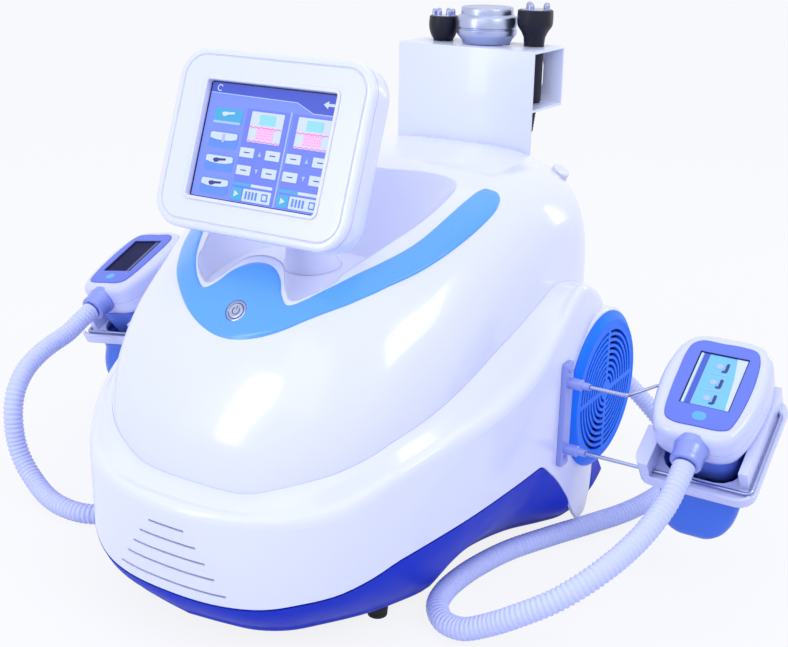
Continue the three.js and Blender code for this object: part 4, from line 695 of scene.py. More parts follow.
def screen_bezel():
    face = [(-6, 0.4), (-5.6, 0), (-2.4, 0), (-0.8, 0.6), (0.5, 2), (1.4, 4.4), (1.85, 8), (2, 12), (2, 15.4),
            (1.6, 16), (1, 16.3), (1, 18.3), (1.6, 18.7), (2, 19.3), (2, 26)]
    rings = [at_height(screen_outline(less), z) for z, less in face]
    rim = [(4, 5, 2), (4, 4, 3), (3.4, 3.5, 3.4), (0.6, 3.2, 3.4), (0.1, 3, 3), (0, 3, 2.4), (0, 3, -5.7)]
    for out, corner, z in rim:
        rings.append(at_height(rounded(*[a + 2 * out for a in ACTIVE], corner + out, 16), z))
    rings.append(at_height(rounded(*ACTIVE, 3, 16), -6))
    return loft(rings, closed=True)


softened("screen_pedestal", WHITE, "machine", 0.8)
softened("hinge_pin", STEEL, "machine", 0.5)
piece("display_back", on_screen(screen_back()), WHITE, "screen", ["screen_back"])
piece("display_bezel", on_screen(screen_bezel()), WHITE, "screen", ["screen_bezel"])
for side, label in SIDES:
    x = side * EAR_X
    ear = along_x(lathe([(3, -5), (9.4, -5), (10, -4.4), (10, 4.4), (9.4, 5), (3, 5)], 40), x, *HINGE)
    web = on_screen(block(x - 4.8, x + 4.8, -60, -41, -58, -44))
    piece(f"hinge_ear_{label}", merged(ear, web), WHITE, "screen", ())


def glowing(name, rgb, glow):
    return finish(name, rgb, 0.25, drift=0.02, bevel=0.1, wear=0, relief=0.0, coat=0.2, specular=0.3, glow=glow)


UI = {tone: glowing(f"ui_{tone}", rgb, glow) for tone, rgb, glow in (
    ("ground", (108, 128, 232), 0.4), ("bar", (64, 80, 176), 0.35), ("line", (150, 168, 236), 0.45),
    ("teal", (60, 150, 186), 0.45), ("white", (178, 190, 224), 0.5), ("blue", (84, 124, 236), 0.45),
    ("dark", (48, 60, 116), 0.2), ("pink", (216, 168, 206), 0.45), ("rose", (214, 106, 158), 0.45),
    ("cyan", (128, 190, 236), 0.45), ("column", (98, 114, 218), 0.4), ("edge", (24, 28, 70), 0.1),
    ("sky", (104, 172, 236), 0.4))}
UI["navy"] = finish("ui_navy", (10, 14, 72), 0.5, drift=0.04, bevel=0.1, wear=0, relief=0, specular=0.1)


def tile(x0, x1, y0, y1, layer, corner=0.0):
    w, h = x1 - x0, y1 - y0
    corner = min(corner, w / 2 - 0.01, h / 2 - 0.01)
    return plate(rounded(w, h, corner, 5, (x0 + x1) / 2, (y0 + y1) / 2) if corner
                 else [(x0, y0), (x1, y0), (x1, y1), (x0, y1)], layer)


def plate(outline, layer):
    z = -3.4 + 0.35 * layer
    return prism(outline, z - 0.3, z)


# Tiles of one channel: tone, left, right, low, high, layer, corner; the right channel's widest end at the edge
CHANNEL_ENDS = {25.6: 79.6, 23.6: 79.4, 22.6: 79.2}
CHANNEL, CHANNEL_STEP = [
    ("column", -27.4, 25.6, -58.6, 36.4, 0.6, 0.8), ("white", -20.8, 20, 2.6, 34, 1.4, 1),
    ("cyan", -9.6, 10.6, 21, 31.5, 2.2, 1),
    *[("white", x0, x1, y, y + 9.8, 1.4, 0.8) for x0, x1 in ((-26.6, -8.8), (5.8, 23.6))
      for y in (-13.4, -31.6)],
    *[("dark", x + 5.4, x + 12.4, y + 4.4, y + 5.4, 2.2, 0) for x in (-26.6, 5.8) for y in (-13.4, -31.6)],
    ("white", -27, 22.6, -42.6, -39.6, 1.4, 1), ("teal", -27, -4, -42.6, -39.6, 2.2, 1),
    ("teal", -27, -14, -57.6, -45, 1.4, 1.4), ("white", -12.6, 22.6, -57.6, -45, 1.4, 1),
    *[("blue", -9.4 + 4.2 * k, -7 + 4.2 * k, -55.4, -47.2, 2.2, 0.4) for k in range(4)],
    ("blue", 11.4, 19, -55.2, -47.4, 2.2, 0.6), ("white", 13, 17.4, -53.6, -49, 3, 0.4)], 58.3
TOOL = [(-58.5, -4.6), (-56.5, -7.4), (-53, -7.2), (-50, -5.4), (-42.4, -4.6), (-42, -2.4), (-50, -3), (-54, -2.6),
        (-57.5, -3.4)]


def screen_pictures():
    """Plain control picture: bar, four buttons and two channels; no words."""
    sets = {tone: [] for tone in UI}

    def put(tone, *shapes):
        sets[tone].extend(shapes)

    put("edge", prism(rounded(161.4, 120.9, 3), -5.7, -3.9))
    put("ground", tile(-78.5, 80, -59.5, 59.2, 0, 1))
    put("bar", plate([(-78, 59), (-78, 49.2), (32, 48.2), (53.5, 39), (79.6, 39), (79.6, 59)], 1))
    put("line", plate([(-78, 49.2), (-78, 48.2), (32, 47.2), (53.5, 38), (79.6, 38), (79.6, 39), (53.5, 39),
                       (32, 48.2)], 1.3), tile(27.2, 28.6, -58.6, 37.4, 1.6))
    ring = [(r * math.cos(t) - 67.5, r * math.sin(t) + 54) for r, ends in ((3.6, (0.5, 5.4)), (2.6, (5.4, 0.5)))
            for t in np.linspace(*ends, 18)]
    put("white", plate([(63.5, 49), (69.5, 53), (69.5, 50.4), (77, 50.4), (77, 47.6), (69.5, 47.6), (69.5, 45)], 2),
        plate(ring, 2))
    for k, tone in enumerate(("white", "line", "dark", "dark")):
        y1 = 33.3 - 24 * k
        y0 = y1 - 16.4
        put("blue" if k else "teal", tile(-69, -32.3, y0, y1, 1, 3))
        if k:
            low = [(-68, y1 - 7), (-60, y1 - 8.6), (-50.5, y1 - 9), (-41, y1 - 8.4), (-33.4, y1 - 6.6)]
            put("white", plate([*low, (-33.4, y1 - 2.4), (-34.6, y1 - 1), (-66.6, y1 - 1), (-68, y1 - 2.4)], 2))
        else:
            put("line", tile(-68, -33.4, y0 + 0.8, y0 + 3.4, 2, 1.2))
        put(tone, tile(-52.4, -48.8, y1 - 11, y1 - 2, 3, 1.4) if k == 1
            else plate([(x, y1 + y - 0.6) for x, y in TOOL], 3))
    for u in (0, CHANNEL_STEP):
        for tone, x0, x1, *rest in CHANNEL:
            put(tone, tile(x0 + u, CHANNEL_ENDS.get(x1, x1 + u) if u else x1, *rest))
        for y in (18.6, 4.4):
            wave = [(x + u, y + 0.5 * math.sin(x * 0.9)) for x in np.linspace(-20.4, 19.6, 30)]
            put("rose", plate(wave + [(x, v - 1.1) for x, v in reversed(wave)], 2.2))
        put("rose", *[prism(circle(0.55, 8) + (-9 + 3 * col + 1.1 * (row % 2) + u, 7.4 + 2.8 * row), -2.9, -2.55)
                      for row in range(4) for col in range(7)])
        for tone, layer, corners in (
                ("pink", 2, [(-11, 6), (11, 6), (10.6, 17), (4, 19.6), (-4, 19.6), (-11, 17)]),
                ("line", 1.4, [(-3.4, -11), (0.6, -11), (-1.4, -6)]),
                ("line", 1.4, [(-3.4, -24), (-1.4, -29), (0.6, -24)]),
                ("white", 2.2, [(-23.4, -54.6), (-17.4, -51.3), (-23.4, -48)])):
            put(tone, plate([(x + u, y) for x, y in corners], layer))
    return {tone: shapes for tone, shapes in sets.items() if shapes}


for label, shapes in screen_pictures().items():
    piece(f"display_{label}", on_screen(merged(*shapes)), UI[label], "screen",
          ["display_glass"] if label == "edge" else ())

# Side grilles, fan frames and rotors
RINGS, RING_FROM, RING_TO, RING_STEP, SPOKE_HALF = 9, 12.4, 16.1, 7.2, 3
# Fan blades: root radius, length and sweep; half width and pitch in degrees at the root, and their loss to the tip
BLADES, BLADE_FROM, BLADE_LONG, BLADE_SWEEP, BLADE_HALF, BLADE_PITCH = 7, 15, 47, 0.35, (27, 5), (38, 14)
BLADE_MIDDLE, BLADE_LOW, BLADE_HIGH = -19.3, -28, -10.6


def grille(side):
    r = DISC_RADIUS
    disc = lathe([(r, 0.3), (r, 1.2), (r - 0.4, 2), (r - 9, 8), (r - 10, 8.5), (r - 13.5, 8.5), (r - 14.2, 8.1),
                  (r - 15, 8.1)], 160)
    cuts = []
    for k in range(RINGS):
        r0, r1 = RING_FROM + RING_STEP * k, RING_TO + RING_STEP * k
        for q in range(4):
            outline = []
            for r, flip in ((r1, 1), (r0, -1)):
                trim = math.asin(SPOKE_HALF / r)
                a = np.linspace(trim, math.pi / 2 - trim, 10 + 3 * k)[::flip] + q * math.pi / 2
                outline += [(r * math.cos(v), r * math.sin(v)) for v in a]
            cuts.append(prism(outline, -20, 30))
    return at_disc(disc, side), at_disc(merged(*cuts), side)


def rotor(side):
    hub = lathe([(3, -28.6), (17, -28.6), (17, -12), (15.5, -10.4), (12, -10), (4, -10.6)], 48)
    blades = []
    for i in range(BLADES):
        rings = []
        for s in np.linspace(0, 1, 9):
            r = BLADE_FROM + BLADE_LONG * s
            mid = 2 * math.pi * i / BLADES + BLADE_SWEEP * s * s
            half, pitch = (math.radians(root - loss * s) for root, loss in (BLADE_HALF, BLADE_PITCH))
            ring = []
            for a, h in ((-1, -1), (-0.3, -1.2), (0.4, -1), (1, 0), (0.4, 1), (-0.3, 1.1), (-1, 0.6)):
                ang = mid + a * half * 0.8
                z = BLADE_MIDDLE + a * r * half * 0.8 * math.tan(pitch) * 0.45 + h * 0.9
                ring.append((r * math.cos(ang), r * math.sin(ang), float(np.clip(z, BLADE_LOW, BLADE_HIGH))))
            rings.append(ring)
        blades.append(loft(rings))
    return at_disc(merged(hub, *blades), side)


for side, label in SIDES:
    disc, cuts = grille(side)
    piece(f"grille_disc_{label}", disc, GRILLE, "machine", [f"fan_grille_{label}"], [cuts])
    softened(f"fan_frame_{label}", BLACK, "machine", 0.6)
    piece(f"rotor_{label}", rotor(side), BLACK, f"rotor_{label}", [f"fan_rotor_{label}"], angle=50)

# Side applicators in their own frames; tilt and turn in degrees
HANDS = {"right": {"at": (408, 83, 239), "tilt": 32.5, "turn": 0.0, "side": 1},
         "left": {"at": (421.2, 74, 245), "tilt": 22.6, "turn": 10.8, "side": -1}}
for hand in HANDS.values():
    t, w = math.radians(hand["tilt"]), math.radians(hand["turn"])
    hand["up"], level = np.array([0, math.cos(t), math.sin(t)]), np.array([0, -math.sin(t), math.cos(t)])
    hand["across"] = math.cos(w) * np.array([1, 0, 0]) - math.sin(w) * level
    hand["out"] = math.sin(w) * np.array([1, 0, 0]) + math.cos(w) * level


def hand_point(hand, u, v, off):
    return np.array(hand["at"], float) + u * hand["across"] + v * hand["up"] + off * hand["out"]


def sided(hand, shape):
    return shape if hand["side"] > 0 else mirrored(shape)


def on_hand(hand, shape):
    return sided(hand, placed(shape, hand["across"], hand["up"], hand["out"], hand["at"]))


HAND_HALF = [(0, 65), (25, 64), (41, 58), (51, 45), (56.5, 23), (58, 0), (56, -26), (51, -51), (42, -70),
             (28, -77), (0, -78)]
PANEL_OUTLINE = [(-39, 44), (-30, 51), (-7, 51.5), (16, 52), (31, 49), (37, 39), (41, 12), (41, -16), (38, -44),
                 (34, -57), (26, -61), (-2, -62), (-24, -62), (-34, -58), (-38, -50), (-41, -25), (-42, 4), (-42, 31)]
# Rings: height, half width, share of the half length, middle
BOWL_RINGS = [(-78.3, 45, 1, -42), (-88, 45.1, 1, -42.4), (-94, 45.1, 0.995, -44.4), (-100, 45.1, 0.965, -51.4),
              (-106, 45, 0.92, -59), (-112, 44.3, 0.88, -65), (-117, 43, 0.84, -70), (-123, 40.6, 0.785, -75.4),
              (-128, 37, 0.72, -80), (-132.5, 31.6, 0.63, -83.6), (-136, 25, 0.52, -86.4), (-138, 15, 0.36, -88)]
BOWL_LONG, BOWL_CORNER, BOWL_WALL = 53, 0.66, 3
BOWL_TOP, BOWL_FLOOR = (-78.3, 53, 1, -42), (-135, 25, 0.52, -86.4)
PLUG = [(10, 72.3), (18, 72.3), (18.4, 79), (18.9, 79.6), (18.9, 81.6), (18.3, 82.2), (16.9, 92.6), (16.9, 93.2),
        (17.3, 93.8), (17.2, 98.6), (16.6, 100), (15, 101), (12.6, 101), (12.4, 100)]
POST = [(6.5, 5.6), (6.5, 20.6), (6.1, 21.2), (4.6, 22), (4, 31), (3.6, 31), (2.5, 30.6), (2.5, 14)]
BOLT = [(3.4, 6.1), (3.4, 7.2), (2.9, 7.8), (1.4, 7.8), (1.2, 7.2)]
CONNECTOR_OFF = -18


def hand_shell():
    outline = ccw(smooth(mirrored_outline(HAND_HALF), 10, True))
    rings = [(-45, 7), (-44.4, 4.6), (-43, 2.4), (-41, 1), (-36, 0.2), (-30, 0), (-26.4, 0), (-26, 0.5), (-25.2, 0.5),
             (-24.8, 0), (-12, 0), (-8.5, 0.5), (-5, 2.2), (-2.8, 4.6), (-1.7, 7.4), (-1.4, 10)]
    return moved(loft([at_height(grown(outline, -inset), off) for off, inset in rings]), -2, 0, 0)


def hand_cup():
    return loft([at_height(rounded(84 - less, 86 - less, 24 - less / 4, 10, 0, -31), z) for less, z in (
        (0, -45.3), (1, -50), (3, -52), (3.6, -53.5), (4.6, -56), (14, -86), (16, -91), (17.4, -92), (22.6, -92),
        (24, -90.5), (20, -62), (24, -60))])


def rounded_path(corners, bend, steps):
    """Line through corners, with an arc of radius bend at each that turns by a degree or more."""
    corners, pts = [np.array(c, float) for c in corners], [corners[0]]
    for a, b, c in zip(corners, corners[1:], corners[2:]):
        u, w = (a - b) / np.linalg.norm(a - b), (c - b) / np.linalg.norm(c - b)
        half = math.acos(np.clip(u @ w, -1, 1)) / 2
        if math.pi - 2 * half < math.radians(1):
            continue
        mid = (u + w) / np.linalg.norm(u + w)
        centre = b + mid * bend / math.sin(half)
        start, end = b + u * bend / math.tan(half) - centre, b + w * bend / math.tan(half) - centre
        sweep = math.pi - 2 * half
        for k in range(steps + 1):
            pts.append(centre + start * math.sin((1 - k / steps) * sweep) / math.sin(sweep)
                       + end * math.sin(k / steps * sweep) / math.sin(sweep))
    return np.array([*pts, corners[-1]])


def tube_rings(path, radii, sides):
    """Rings carried without twist along a path."""
    path = np.asarray(path, float)
    ahead, behind = np.roll(path, -1, 0), np.roll(path, 1, 0)
    ahead[-1], behind[0] = path[-1], path[0]
    forward = unit_rows(ahead - behind)
    side = np.cross((0, 0, 1) if abs(forward[0][2]) < 0.9 else (0, 1, 0), forward[0])
    ring = circle(1, sides)
    rings = []
    for p, f, r in zip(path, forward, np.broadcast_to(radii, len(path))):
        side = side - f * (side @ f)
        side /= np.linalg.norm(side)
        up = np.cross(f, side)
        rings.append(p + r * (ring[:, :1] * side + ring[:, 1:] * up))
    return rings


# Bracket posts, and the rod's start in them
POST_Y, POST_HIGH, POST_LOW, ROD_START, ROD_OFF = 48.1, 214, 133.8, 262.3, -70
ROD_RADIUS, ROD_BEND = 2.2, 7


def rod_path(hand):
    loop = [hand_point(hand, u, v, ROD_OFF) for u, v in ((-83, 27), (61, 27), (61, -86), (-83, -86))]
    return rounded_path([(ROD_START, POST_Y, POST_HIGH), (loop[0][0], POST_Y, POST_HIGH), *loop,
                         (290, POST_Y, POST_LOW), (ROD_START, POST_Y, POST_LOW)], ROD_BEND, 10)


HAND_UI = {
    "right": [("sky", [tile(-27, 27, -36, 36, 0, 0.6)]),
              ("white", [tile(-26.6, -23.4, -35.6, 35.6, 1, 0.4),
                         plate([(14, 35.4), (26.4, 35.4), (26.4, -35.4), (22, -35.4), (19, 6)], 0.6)]),
              ("bar", [tile(-22.4, -16, -35.8, 35.8, 1, 0.4)]),
              ("line", [tile(-8, 12, 9.4, 10.2, 1.4), tile(-8, 12, -12.8, -12, 1.4)]
               + [tile(-5, 3, v - 2.6, v + 4, 1.4, 3) for v in (20, -2, -24)]),
              ("dark", [tile(5.4, 8.8, v - 6, v + 6.4, 1.8, 1.7) for v in (20, -2, -24)]
               + [tile(2.6, 8, v - 6.6, v - 4, 2, 1.2) for v in (20, -2, -24)])],
    "left": [("navy", [tile(-27, 27, -36, 36, 0, 0.6)]),
             ("dark", [tile(-22.4, -17, -35.8, 35.8, 1, 0.4)])],
}


def bowl():
    """Bowl from the middle of its bottom up to the rim, and down again inside to its floor."""
    def ring(off, half, share, middle, less=0):
        long = BOWL_LONG * share
        return at_height(rounded(2 * (half - less), 2 * (long - less), (min(half, long) - less) * BOWL_CORNER, 12,
                                 0, middle), off)
    return loft([*[ring(*row) for row in reversed(BOWL_RINGS)],
                 *[ring(*row, BOWL_WALL) for row in (BOWL_TOP, *BOWL_RINGS[1:-3], BOWL_FLOOR)]])


def bracket():
    shapes = [along_x(prism(rounded(20, 125, 3, 5, 0, 175.5), 0.3, 6.3, 1), BODY[0], POST_Y, 0)]
    for profile, sides, heights in ((POST, 32, (POST_HIGH, POST_LOW)), (BOLT, 24, (229, 122))):
        shapes += [along_x(lathe(profile, sides), BODY[0], POST_Y, z) for z in heights]
    return merged(*shapes)


for label, hand in HANDS.items():
    body = f"applicator_{label}"
    panel = ccw(smooth(PANEL_OUTLINE, 8, True))
    piece(f"hand_shell_{label}", on_hand(hand, hand_shell()), SHELL, body, [f"applicator_shell_{label}"],
          [on_hand(hand, prism(grown(panel, 0.3), -3.2, 8))])
    piece(f"hand_panel_{label}", on_hand(hand, prism(panel, -3.1, 0, 0.6)), PANEL, body,
          [f"applicator_panel_{label}"],
          [on_hand(hand, prism(rounded(54.6, 72.6, 0.6, 3), -2.2, 8))])
    frame_ring = merged(*[prism(rounded(w, h, 0.3, 2, x, y), -2.2, -0.9, 0.2) for w, h, x, y in (
        (1.2, 72.4, -26.6, 0), (1.2, 72.4, 26.6, 0), (54.4, 1.2, 0, 35.7), (54.4, 1.2, 0, -35.7))])
    piece(f"hand_display_rim_{label}", on_hand(hand, frame_ring), BLACK, body, [f"applicator_display_{label}"])
    for tone, shapes in HAND_UI[label]:
        piece(f"hand_display_{tone}_{label}", on_hand(hand, moved(merged(*shapes), 0, 0, 1.6)), UI[tone], body,
              ())
    oval = moved(prism(rounded(15, 11, 5.4, 12), -0.4, 0.25, 0.2), -0.5, -49, 0)
    piece(f"hand_oval_{label}", on_hand(hand, oval),
          finish(f"oval_{label}", (92, 176, 246), 0.35, drift=0.03, bevel=0.2), body, ())
    # The hand cup's pale blue is painted shade on white plastic, lighter where it is lit.
    piece(f"hand_cup_{label}", on_hand(hand, hand_cup()), HAND_CUP_PAINTED_SHADE, body, [f"applicator_cup_{label}"])
    plug = placed(lathe(PLUG, 72), (1, 0, 0), (0, 0, 1), (0, -1, 0), (0, 0, CONNECTOR_OFF))
    piece(f"hand_connector_{label}", on_hand(hand, plug), SATIN, body, [f"hose_connector_{label}"])
    rod = loft(tube_rings(rod_path(hand), ROD_RADIUS, 20))
    piece(f"wire_rod_{label}", sided(hand, rod), STEEL, "machine", [f"wire_frame_{label}"])
    softened(f"cradle_tray_{label}", SHELL, "machine", 1.6, 4)
    # The bowl's blue is painted shade on white plastic.
    piece(f"cradle_bowl_skin_{label}", on_hand(hand, bowl()), BOWL_PAINTED_SHADE, "machine", [f"cradle_bowl_{label}"])
    piece(f"bracket_{label}", sided(hand, bracket()), SATIN, "machine", [f"mount_bracket_{label}"])

# Ribbed hoses: the CAD model's route points, with fine ribs
SHARED_ROUTE = [(202, -46, 12.5), (214, 0, 12.5), (239, 56, 12.5), (267, 112, 12.5), (291, 164, 12.5),
                (305, 214, 12.5), (311, 262, 12.5), (310, 304, 13), (301, 338, 17.5), (282, 364, 28), (254, 380, 47),
                (222, 383, 74), (192, 374, 103), (168, 353, 130), (154, 322, 147)]
ROUTES = {
    "right": [(406, -38, 140.5), (397, -80, 120), (378, -131, 100), (348, -164, 76), (314, -178, 54),
              (283, -181, 34), (254, -181, 19), (226, -171, 13), (205, -148, 12.5), (197, -118, 12.5),
              (197, -82, 12.5)],
    "left": [(417, -60, 170), (415, -92, 164), (411, -121, 157), (406, -147, 146), (400, -167, 130),
             (395, -179, 109), (391, -184, 87), (386, -186, 65), (375, -188, 45), (352, -193, 27), (318, -202, 16),
             (284, -206, 12.8), (253, -202, 12.5), (227, -186, 12.5), (210, -160, 12.5), (201, -124, 12.5),
             (198, -86, 12.5)],
}
HOSE_RADIUS, RIB_DEPTH, RIB, RIB_STEPS, LYING, STRAIGHT = 12.2, 1.5, 5.6, 6, 12.5, 24
GLAND_X, GLAND_END, GLAND_Z = 150, 272.3, 150


def hose(label):
    hand = HANDS[label]
    start, end = hand_point(hand, 0, -101.3, CONNECTOR_OFF), np.array([GLAND_X, GLAND_END, GLAND_Z])
    points = [start, start - STRAIGHT * hand["up"], *ROUTES[label], *SHARED_ROUTE, end + (0, STRAIGHT, 0), end]
    line = smooth(points, 60)
    line[:, 2] = np.maximum(line[:, 2], LYING)
    _, length = spaced(line, 2)
    path, _ = spaced(line, round(length / RIB) * RIB_STEPS + 1)
    wave = 0.5 + 0.5 * np.cos(2 * math.pi * np.arange(len(path)) / RIB_STEPS)
    rings = tube_rings(path, HOSE_RADIUS - RIB_DEPTH * wave**1.6, 28)
    ob = piece(f"hose_{label}_ribbed", sided(hand, loft(rings)), HOSE, "machine", [f"hose_{label}"],
               angle=75)


for label in HANDS:
    hose(label)

# Rear fittings
PANEL_FACE, SOCKET_Z = 247.6, 128
softened("rear_panel", WHITE, "machine", 0.8)
softened("mains_inlet", BLACK, "machine", 0.5)
softened("rocker_switch", BLACK, "rocker", 0.4)
softened("applicator_rack", RACK, "machine", 0.7)
gland = [(8, PANEL_FACE), (19, PANEL_FACE), (19, 251), (18.4, 252), (15.2, 252), (14.5, 253), (14.5, 256), (14, 257),
         (14.5, 258), (14.5, 270.6), (13.6, 272), (11, 272)]
for side, label in SIDES:
    piece(f"gland_{label}", along_y(lathe(gland), side * GLAND_X, GLAND_Z), BLACK, "machine", [f"hose_gland_{label}"])
pins = merged(*[along_y(prism(rounded(w, h, 0.5, 3, -x, z), 249, 254), 0, 62) for x, z, w, h in (
    (5.5, 2.4, 2, 6.4), (18.5, 2.4, 2, 6.4), (12, -4.4, 2, 6.4))])
piece("inlet_pins", pins, STEEL, "machine", ())
strip = [along_y(prism(rounded(150, 34, 4, 6), PANEL_FACE, 250.6, 0.6), 0, SOCKET_Z)]
inserts = []
for x in (-52, 0, 52):
    strip.append(along_y(lathe([(8, 250), (13, 250), (13, 253), (12.2, 254), (12.2, 260), (12.8, 260.6),
                                (12.8, 261.4), (12, 262), (9, 262), (8, 261), (8, 251)], 40), x, SOCKET_Z))
    inserts.append(along_y(lathe([(7.9, 250.4), (7.9, 251.6), (7, 252)], 32), x, SOCKET_Z))
    for a in 2 * math.pi * np.arange(5) / 5:
        inserts.append(along_y(lathe([(0.9, 251), (0.9, 255), (0.5, 255.6)], 12), x + 4.6 * math.cos(a),
                               SOCKET_Z + 4.6 * math.sin(a)))
piece("socket_row", merged(*strip), ALU, "machine", ["socket_strip"])
piece("socket_inserts", merged(*inserts), SOCKET, "machine", ())
knob = [(7, -9), (7, 0), (11, 0), *[(11 - 0.5 * (k % 2), 0.4 + 0.7 * k) for k in range(9)],
        (10.4, 7), (9, 8), (5, 8), (4.4, 7.4)]
piece("tank_cap", on_cap(lathe(knob, 48)), WHITE, "cap", ["fill_cap"])
screws = [along_y(lathe([(4, foot), (4, rim), (3.2, rim + 0.8), (1.6, rim + 0.9), (1.4, rim)], 24), side * x, z)
          for foot, rim, places in ((247.2, 248.4, ((188, 100), (188, 225), (150, 330), (60, 28))),
                                    (250.5, 251.8, ((80, 330), (80, 380))))
          for x, z in places for side, _ in SIDES]
piece("rear_screws", merged(*screws), STEEL, "machine", ())

# Rack applicators
RACK_TOP, SHELF_TOP, BOOT_RIBS, BOOT_STEP = 546.5, 475, 9, 4.2


def standing(shape, x, y):
    return moved(shape, x, PANEL_FACE + y, 0)


def stylus(name, section, ring, count, radius, disc, x, y):
    head = [(r, RACK_TOP + z) for r, z in section]
    z = head[-1][1]
    curve = smooth(head, 6)
    grip = [(2, SHELF_TOP - 39), (3.2, SHELF_TOP - 38.5)]
    for k in range(BOOT_RIBS):
        grip += [(3.6 + 3.9 * k / (BOOT_RIBS - 1) + step, SHELF_TOP + BOOT_STEP * k - below)
                 for step, below in ((0, 37), (0.7, 36.2), (0.7, 34.6))]
    grip += [(7.5, SHELF_TOP), (10.6, SHELF_TOP + 0.3), (11.8, SHELF_TOP + 1.5), (12.4, SHELF_TOP + 20),
             (12.4, RACK_TOP - 12), (12.8, RACK_TOP)]
    top = [(disc + 1.4, z + 0.4), (disc + 0.5, z + 0.4), (disc + 0.3, z - 1.8)]
    piece(f"{name}_grip_body", standing(lathe([*grip, *curve[1:-1], (section[-1][0], z - 0.6), *top], 48), x, y),
          BLACK, name, [f"{name}_grip"])
    shapes = [lathe([(disc, z - 1.7), (disc, z + 0.4), (disc - 0.6, z + 1), (disc - 4, z + 1)], 40)]
    for i in range(count):
        a = 2 * math.pi * i / count + math.pi / 6
        pin = lathe([(radius, z), (radius, z + 9 - radius)] + [
            (radius * math.cos(b), z + 9 - radius + radius * math.sin(b)) for b in np.linspace(0.2, 1.5, 6)], 24)
        shapes.append(moved(pin, ring * math.cos(a), ring * math.sin(a), 0))
    piece(f"{name}_pins", standing(merged(*shapes), x, y), STEEL, name, [f"{name}_electrodes"])


stylus("small_applicator", [(13, 1.5), (16, 6.5), (18.6, 14.5), (19.2, 21.5), (18.4, 31.5)], 12, 6, 3.2, 15.2,
       -59, 48.4)
stylus("large_applicator", [(13.2, 9.5), (17, 17.5), (22, 25.5), (22.8, 33.5), (22.4, 45)], 14, 3, 4.4, 18.6,
       65, 64.4)
cav_grip = [(2, SHELF_TOP - 39), (3.6, SHELF_TOP - 38)] + [
    (3.8 + 3.7 * k / (BOOT_RIBS - 1) + 0.7 * (k % 2), SHELF_TOP - 37 + BOOT_STEP * k)
    for k in range(BOOT_RIBS)] + [
    (7.5, SHELF_TOP), (13.6, SHELF_TOP + 0.3), (15, SHELF_TOP + 1.6), (17.4, SHELF_TOP + 5), (20, SHELF_TOP + 9),
    (21, SHELF_TOP + 40), (21, RACK_TOP - 2), (20.4, RACK_TOP + 0.3)]
piece("round_grip", standing(lathe(cav_grip, 64), 3, 51.9), BLACK, "round_applicator", ["round_applicator_grip"])
cav_head = [(20, 0.6), (30.2, 0.6), (31, 1.2), (32.6, 4.6), (33.4, 6), (37.6, 11), (38.5, 12.6), (38.5, 18.2),
            (38, 18.9), (37, 19.4), (36.9, 20.4), (38, 21), (38.5, 21.7), (38.5, 33.4), (37.9, 34.4), (34.2, 36.4),
            (33.5, 37.2), (33.5, 44), (33, 45.2), (32, 46), (24, 46), (23.4, 45.6), (22.6, 45.6), (22, 46)]
piece("round_head", standing(lathe([(r, RACK_TOP + z) for r, z in cav_head], 96), 3, 51.9), ALU, "round_applicator",
      ["round_applicator_head"])

for part, material in (("coolant_tank", TANK), ("power_supply", SHEET), ("vacuum_pump", BLACK)):
    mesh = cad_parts[part].data
    mesh.materials.clear()
    mesh.materials.append(material)

# Studio: pale floor and world that the camera and mirrors see as white, and soft lamps


def white_to_camera(tree, shader, target, share=1):
    """Mix a shader with plain white for camera, glossy and transmission rays."""
    rays = tree.nodes.new("ShaderNodeLightPath").outputs
    seen = rays["Is Camera Ray"]
    for ray in ("Is Glossy Ray", "Is Transmission Ray"):
        seen = node(tree, "Math", "Value", {0: seen, 1: rays[ray]}, operation="MAXIMUM")
    seen = node(tree, "Math", "Value", {0: seen, 1: share}, operation="MULTIPLY")
    white = node(tree, "Emission", "Emission")
    tree.links.new(node(tree, "MixShader", "Shader", {"Fac": seen, 1: shader, 2: white}), target)


PAPER, PAPER_SHARE, FLOOR_HALF = (0.66, 0.68, 0.80, 1), 0.86, 9000
LOW_LIGHT, HIGH_LIGHT = (0.48, 0.53, 0.84, 1), (0.90, 0.93, 1.08, 1)
SKY_LOW, SKY_HIGH = -0.1, 0.75
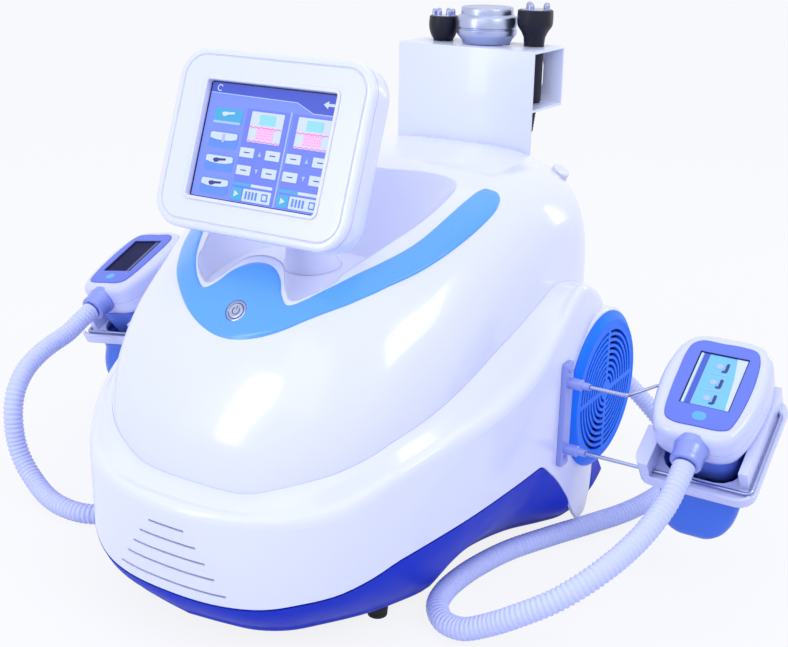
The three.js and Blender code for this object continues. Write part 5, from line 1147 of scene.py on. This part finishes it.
# Name; place, target and size in metres; watts
LAMPS = [("key", (0.0, -2.4, 2.3), (0, 0, 0.25), (2.6, 1.8), 12),
         ("top", (0.0, 0.5, 2.4), (0, 0, 0.3), (1.6, 1.6), 4),
         ("window_left", (-0.88, -1.86, 0.98), (0.05, -0.26, 0.28), (0.32, 1.2), 6.5),
         ("window_right", (1.62, -0.30, 1.66), (0.14, -0.18, 0.3), (0.7, 0.6), 7),
         ("window_rear", (0.94, 1.94, 0.7), (0.16, 0.1, 0.3), (0.2, 0.6), 1.6)]


def studio():
    world = bpy.data.worlds.new("studio")
    world.use_nodes = True
    scene.world = world
    tree, back = world.node_tree, world.node_tree.nodes["Background"]
    height = node(tree, "SeparateXYZ", "Z", {"Vector": node(tree, "TexCoord", "Generated")})
    share = node(tree, "MapRange", "Result", {"Value": height, "From Min": SKY_LOW, "From Max": SKY_HIGH})
    tone = node(tree, "Mix", "Result", {"A": LOW_LIGHT, "B": HIGH_LIGHT, "Factor": share}, data_type="RGBA")
    fill(tree, back, {"Color": tone, "Strength": 1})
    white_to_camera(tree, back.outputs["Background"], tree.nodes["World Output"].inputs["Surface"])
    for name, place, target, size, watts in LAMPS:
        data = bpy.data.lights.new(name, "AREA")
        data.shape, data.size, data.size_y = "RECTANGLE", *size
        data.energy, data.color = watts, (0.95, 0.97, 1.0)
        lamp = linked(name, data)
        lamp.location = place
        lamp.rotation_euler = (Vector(target) - Vector(place)).to_track_quat("-Z", "Y").to_euler()
    floor = linked("floor", mesh_from("floor", block(-FLOOR_HALF, FLOOR_HALF, -FLOOR_HALF, FLOOR_HALF, -10, 0)))
    mat = bpy.data.materials.new("floor_paper")
    mat.use_nodes = True
    tree, paper = mat.node_tree, mat.node_tree.nodes["Principled BSDF"]
    fill(tree, paper, {"Base Color": PAPER, "Roughness": 0.9})
    white_to_camera(tree, paper.outputs["BSDF"], tree.nodes["Material Output"].inputs["Surface"], PAPER_SHARE)
    floor.data.materials.append(mat)


studio()
scene.view_settings.view_transform = "Standard"
